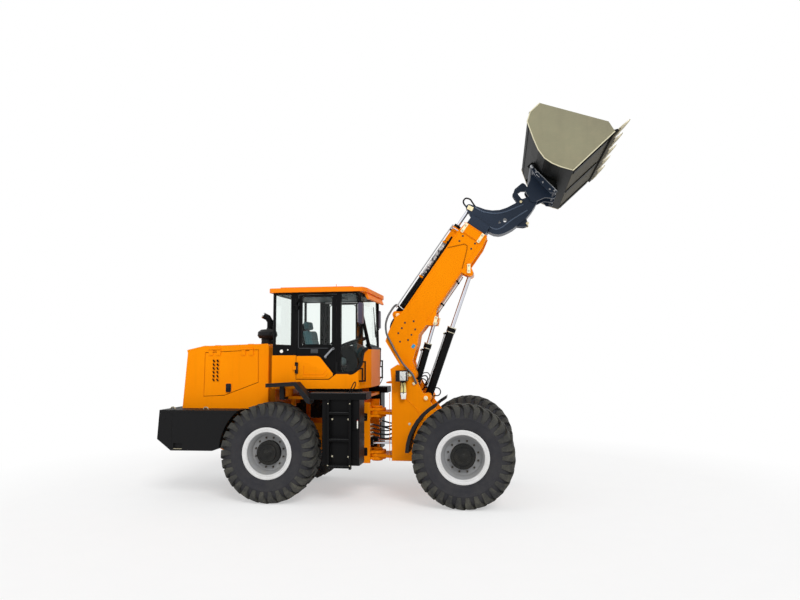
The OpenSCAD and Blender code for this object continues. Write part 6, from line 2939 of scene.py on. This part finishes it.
@dataclass
class Cylinders:
    """Gland rings, bands, port fittings and pressure pipes of the cylinders."""

    shop: Workshop
    upright: tuple = (("lift", (-555.0, 1385.0), (1705.0, 140.0), 1073.0, 59.0),
                      ("levelling", (-725.0, 1590.0), (810.0, 172.0), 600.0, 50.0))

    def axis_view(self, base: Point, eye: Point) -> Frame:
        """Returns the view along a cylinder, from its base pin to its rod's eye.

        Args:
            base: The base pin, in the machine's view.
            eye: The rod's eye, in the boom's view.

        Returns:
            The view.
        """
        turn = math.radians(BOOM_ANGLE)
        x = PIVOT[0] + eye[0] * math.cos(turn) - eye[1] * math.sin(turn)
        z = PIVOT[1] + eye[0] * math.sin(turn) + eye[1] * math.cos(turn)
        return Frame(base[0], base[1], math.degrees(math.atan2(z - base[1], x - base[0])))

    def rings(self, view: Frame, reach: float, radius: float) -> Shape:
        """Returns the gland ring, the bands and the port nuts of one barrel.

        Args:
            view: The view along the cylinder.
            reach: The barrel's length.
            radius: The barrel's radius.

        Returns:
            The shape.
        """
        made = Shape(view)
        for at, r in ((reach, radius + 7), (reach - 71, radius + 4)):
            made.turned([(r - 5, -7), (r + 2, -7), (r + 3.5, -4), (r + 3.5, 4), (r + 2, 7),
                         (r - 5, 7)],
                        (at, 0, 0), (1, 0, 0), 36, closed=True)
        for at in (120, reach - 110):
            made.rod((at, 0, radius + 16), (at, 0, radius + 32), 15, 6, 2)
        return made

    def pipes(self, view: Frame, reach: float, radius: float) -> Shape:
        """Returns the pipe that brings the far port's oil back to the base.

        Args:
            view: The view along the cylinder.
            reach: The barrel's length.
            radius: The barrel's radius.

        Returns:
            The shape.
        """
        made = Shape(view)
        high = radius + 26
        line = [(reach - 110, 0, high), (reach - 128, 6, high + 6), (reach - 160, 16, radius + 14),
                (200, 16, radius + 14), (176, 22, radius + 18), (150, 26, radius + 24)]
        made.tube(smoothed(line, 4), 8, 10)
        for at in (reach * 0.35, reach * 0.62):
            made.block((at - 9, 4, radius - 2), (at + 9, 28, radius + 25), 4)
        return made

    def build(self) -> None:
        """Builds the cylinders' pieces."""
        for name, base, eye, reach, radius in self.upright:
            view, body = self.axis_view(base, eye), f"{name}_barrel"
            self.shop.piece(f"{name}_barrel_rings", self.rings(view, reach, radius), "zinc", body)
            self.shop.piece(f"{name}_barrel_pipes", self.pipes(view, reach, radius), "pipe", body)


# ---------------------------------------------------------------- bucket

@dataclass
class BucketTrim:
    """The bucket's worn cheeks, lining, edge plates, teeth and coupler fittings."""

    shop: Workshop
    half: float = 1125.0
    cheek: tuple = ((723, 723), (554, 724), (438, 659), (337, 438), (277, 280), (256, 143),
                    (277, 26),
                    (320, -83), (399, -232), (1125, -232), (1159, -82))
    inner: tuple = ((740, 702), (560, 702), (454, 643), (359, 430), (299, 276), (279, 145),
                    (299, 32),
                    (342, -74), (414, -210), (1120, -210))
    teeth: tuple = (-1020.0, -510.0, 0.0, 510.0, 1020.0)

    def cheeks(self) -> Shape:
        """Returns the worn skins of the two cheeks.

        Returns:
            The shape.
        """
        made = Shape(BUCKET)
        for side in SIDES:
            made.plate(self.cheek, self.half - 1, self.half + 2.5, 1, side=side)
        return made

    def cheek_edges(self) -> Shape:
        """Returns the pale weld edge along the cheeks' backs.

        Returns:
            The shape.
        """
        made = Shape(BUCKET)
        for side in SIDES:
            made.tube([(u, side * (self.half + 1), v) for u, v in self.cheek[:10]], 7, 8)
        return made

    def lining(self) -> Shape:
        """Returns the worn lining inside the shell.

        Returns:
            The shape.
        """
        made = Shape(BUCKET)
        front = [(u + 3, v - 3 if v > 400 else v + (3 if v < -50 else 0)) for u, v in self.inner]
        back = [(u + 1, v - 1 if v > 400 else v + (1 if v < -50 else 0)) for u, v in self.inner]
        return made.plate([*front, *reversed(back)], -self.half + 23, self.half - 23, 0)

    def floor_skins(self) -> Shape:
        """Returns a darker khaki skin on the floor's underside and its edge plate: painted shade
        on the flanks' paint, with wear and scuffs.

        Returns:
            The shape.
        """
        made = Shape(BUCKET)
        for y0, y1 in ((-1124, -1067), (-923, -72), (72, 923), (1067, 1124)):
            made.block((404, y0, -236), (1058, y1, -230), 1, 1)
        return made.block((1062, -self.half + 4, -263), (1172, self.half - 4, -256), 2)

    def tooth_blades(self) -> Shape:
        """Returns the teeth: adapters under the edge with long worn blades.

        Returns:
            The shape.
        """
        made = Shape(BUCKET)
        for y in self.teeth:
            root = [(1102, -259), (1102, -276), (1190, -274), (1236, -256), (1236, -234),
                    (1186, -224),
                    (1172, -226), (1172, -259)]
            made.plate(root, y - 36, y + 36, 4, 2)
            blade = [(1196, -268), (1196, -228), (1300, -230), (1392, -240), (1396, -244),
                     (1392, -248),
                     (1290, -262)]
            made.plate(blade, y - 44, y + 44, 4, 2)
        return made

    def tooth_pins(self) -> Shape:
        """Returns the pins of the tooth blades.

        Returns:
            The shape.
        """
        made = Shape(BUCKET)
        for y in self.teeth:
            made.rod((1214, y - 50, -248), (1214, y + 50, -248), 9, 12, 2)
        return made

    def back_ribs(self) -> Shape:
        """Returns the flat bar welded across the back and the top edge's pipe.

        Returns:
            The shape.
        """
        made = Shape(BUCKET)
        made.tube([(548, -self.half + 8, 722), (548, self.half - 8, 722)], 13, 12)
        a, b = Vector(self.cheek[2]), Vector(self.cheek[3])
        spot = a.lerp(b, 0.3)
        return made.tube([(spot.x - 3, -self.half + 8, spot.y),
                          (spot.x - 3, self.half - 8, spot.y)], 6, 8)

    def coupler_bits(self) -> Shape:
        """Returns the coupler's pin caps, bolts, handle and bright edges.

        Returns:
            The shape.
        """
        made = Shape(BUCKET)
        for side in SIDES:
            way = (0, side, 0)
            made.turned([(0, 8), (20, 8), (26, 4), (27, -2), (0, -2)], (220, side * 470, 292), way,
                        28)
            for u, v in ((180, 30), (180, -110), (214, 200), (214, -170)):
                made.bolt((u, side * 430, v), way, 20)
            made.tube(smoothed([(196, side * 430, 110), (190, side * 456, 116),
                                (190, side * 456, 166),
                                (196, side * 430, 172)], 4), 6, 8)
            made.block((228, 428, -196), (238, 433, 290), 1.5, side=side)
        return made

    def build(self) -> None:
        """Builds the bucket's pieces."""
        shop, body = self.shop, "bucket"
        shop.piece("bucket_cheek_skins", self.cheeks(), "bucket_side", body, "bucket_paint")
        shop.piece("bucket_cheek_edges", self.cheek_edges(), "bucket_edge", body, "bucket_paint")
        shop.piece("bucket_lining", self.lining(), "bucket_inside", body, "bucket_paint")
        # Painted shade: the underside is the flanks' khaki made darker.
        shop.piece("bucket_floor_skins", self.floor_skins(), "bucket_under", body, "bucket_paint")
        shop.piece("bucket_tooth_blades", self.tooth_blades(), "steel", body, "tooth_steel",
                   ["bucket_teeth"])
        shop.piece("bucket_tooth_pins", self.tooth_pins(), "bolt", body)
        shop.piece("bucket_back_bars", self.back_ribs(), "bucket_back", body, "bucket_paint")
        shop.piece("coupler_fittings", self.coupler_bits(), "pipe", body)


def main() -> None:
    """Builds the machine's looks in order."""
    logging.basicConfig(level=logging.INFO, format="%(name)s: %(message)s")
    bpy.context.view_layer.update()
    Studio().build()
    shop = Workshop(Palette())
    CarriedOver(shop).dress()
    for kind in (Wheels, EngineHood, Counterweight, Doors, CabTrim, CabInside, Boarding,
                 CentreHinge, Tower, BoomTrim, HeadTrim, Cylinders, BucketTrim):
        kind(shop).build()
    LOG.info("%d pieces made", len(shop.made))


if __name__ == "__main__":
    main()
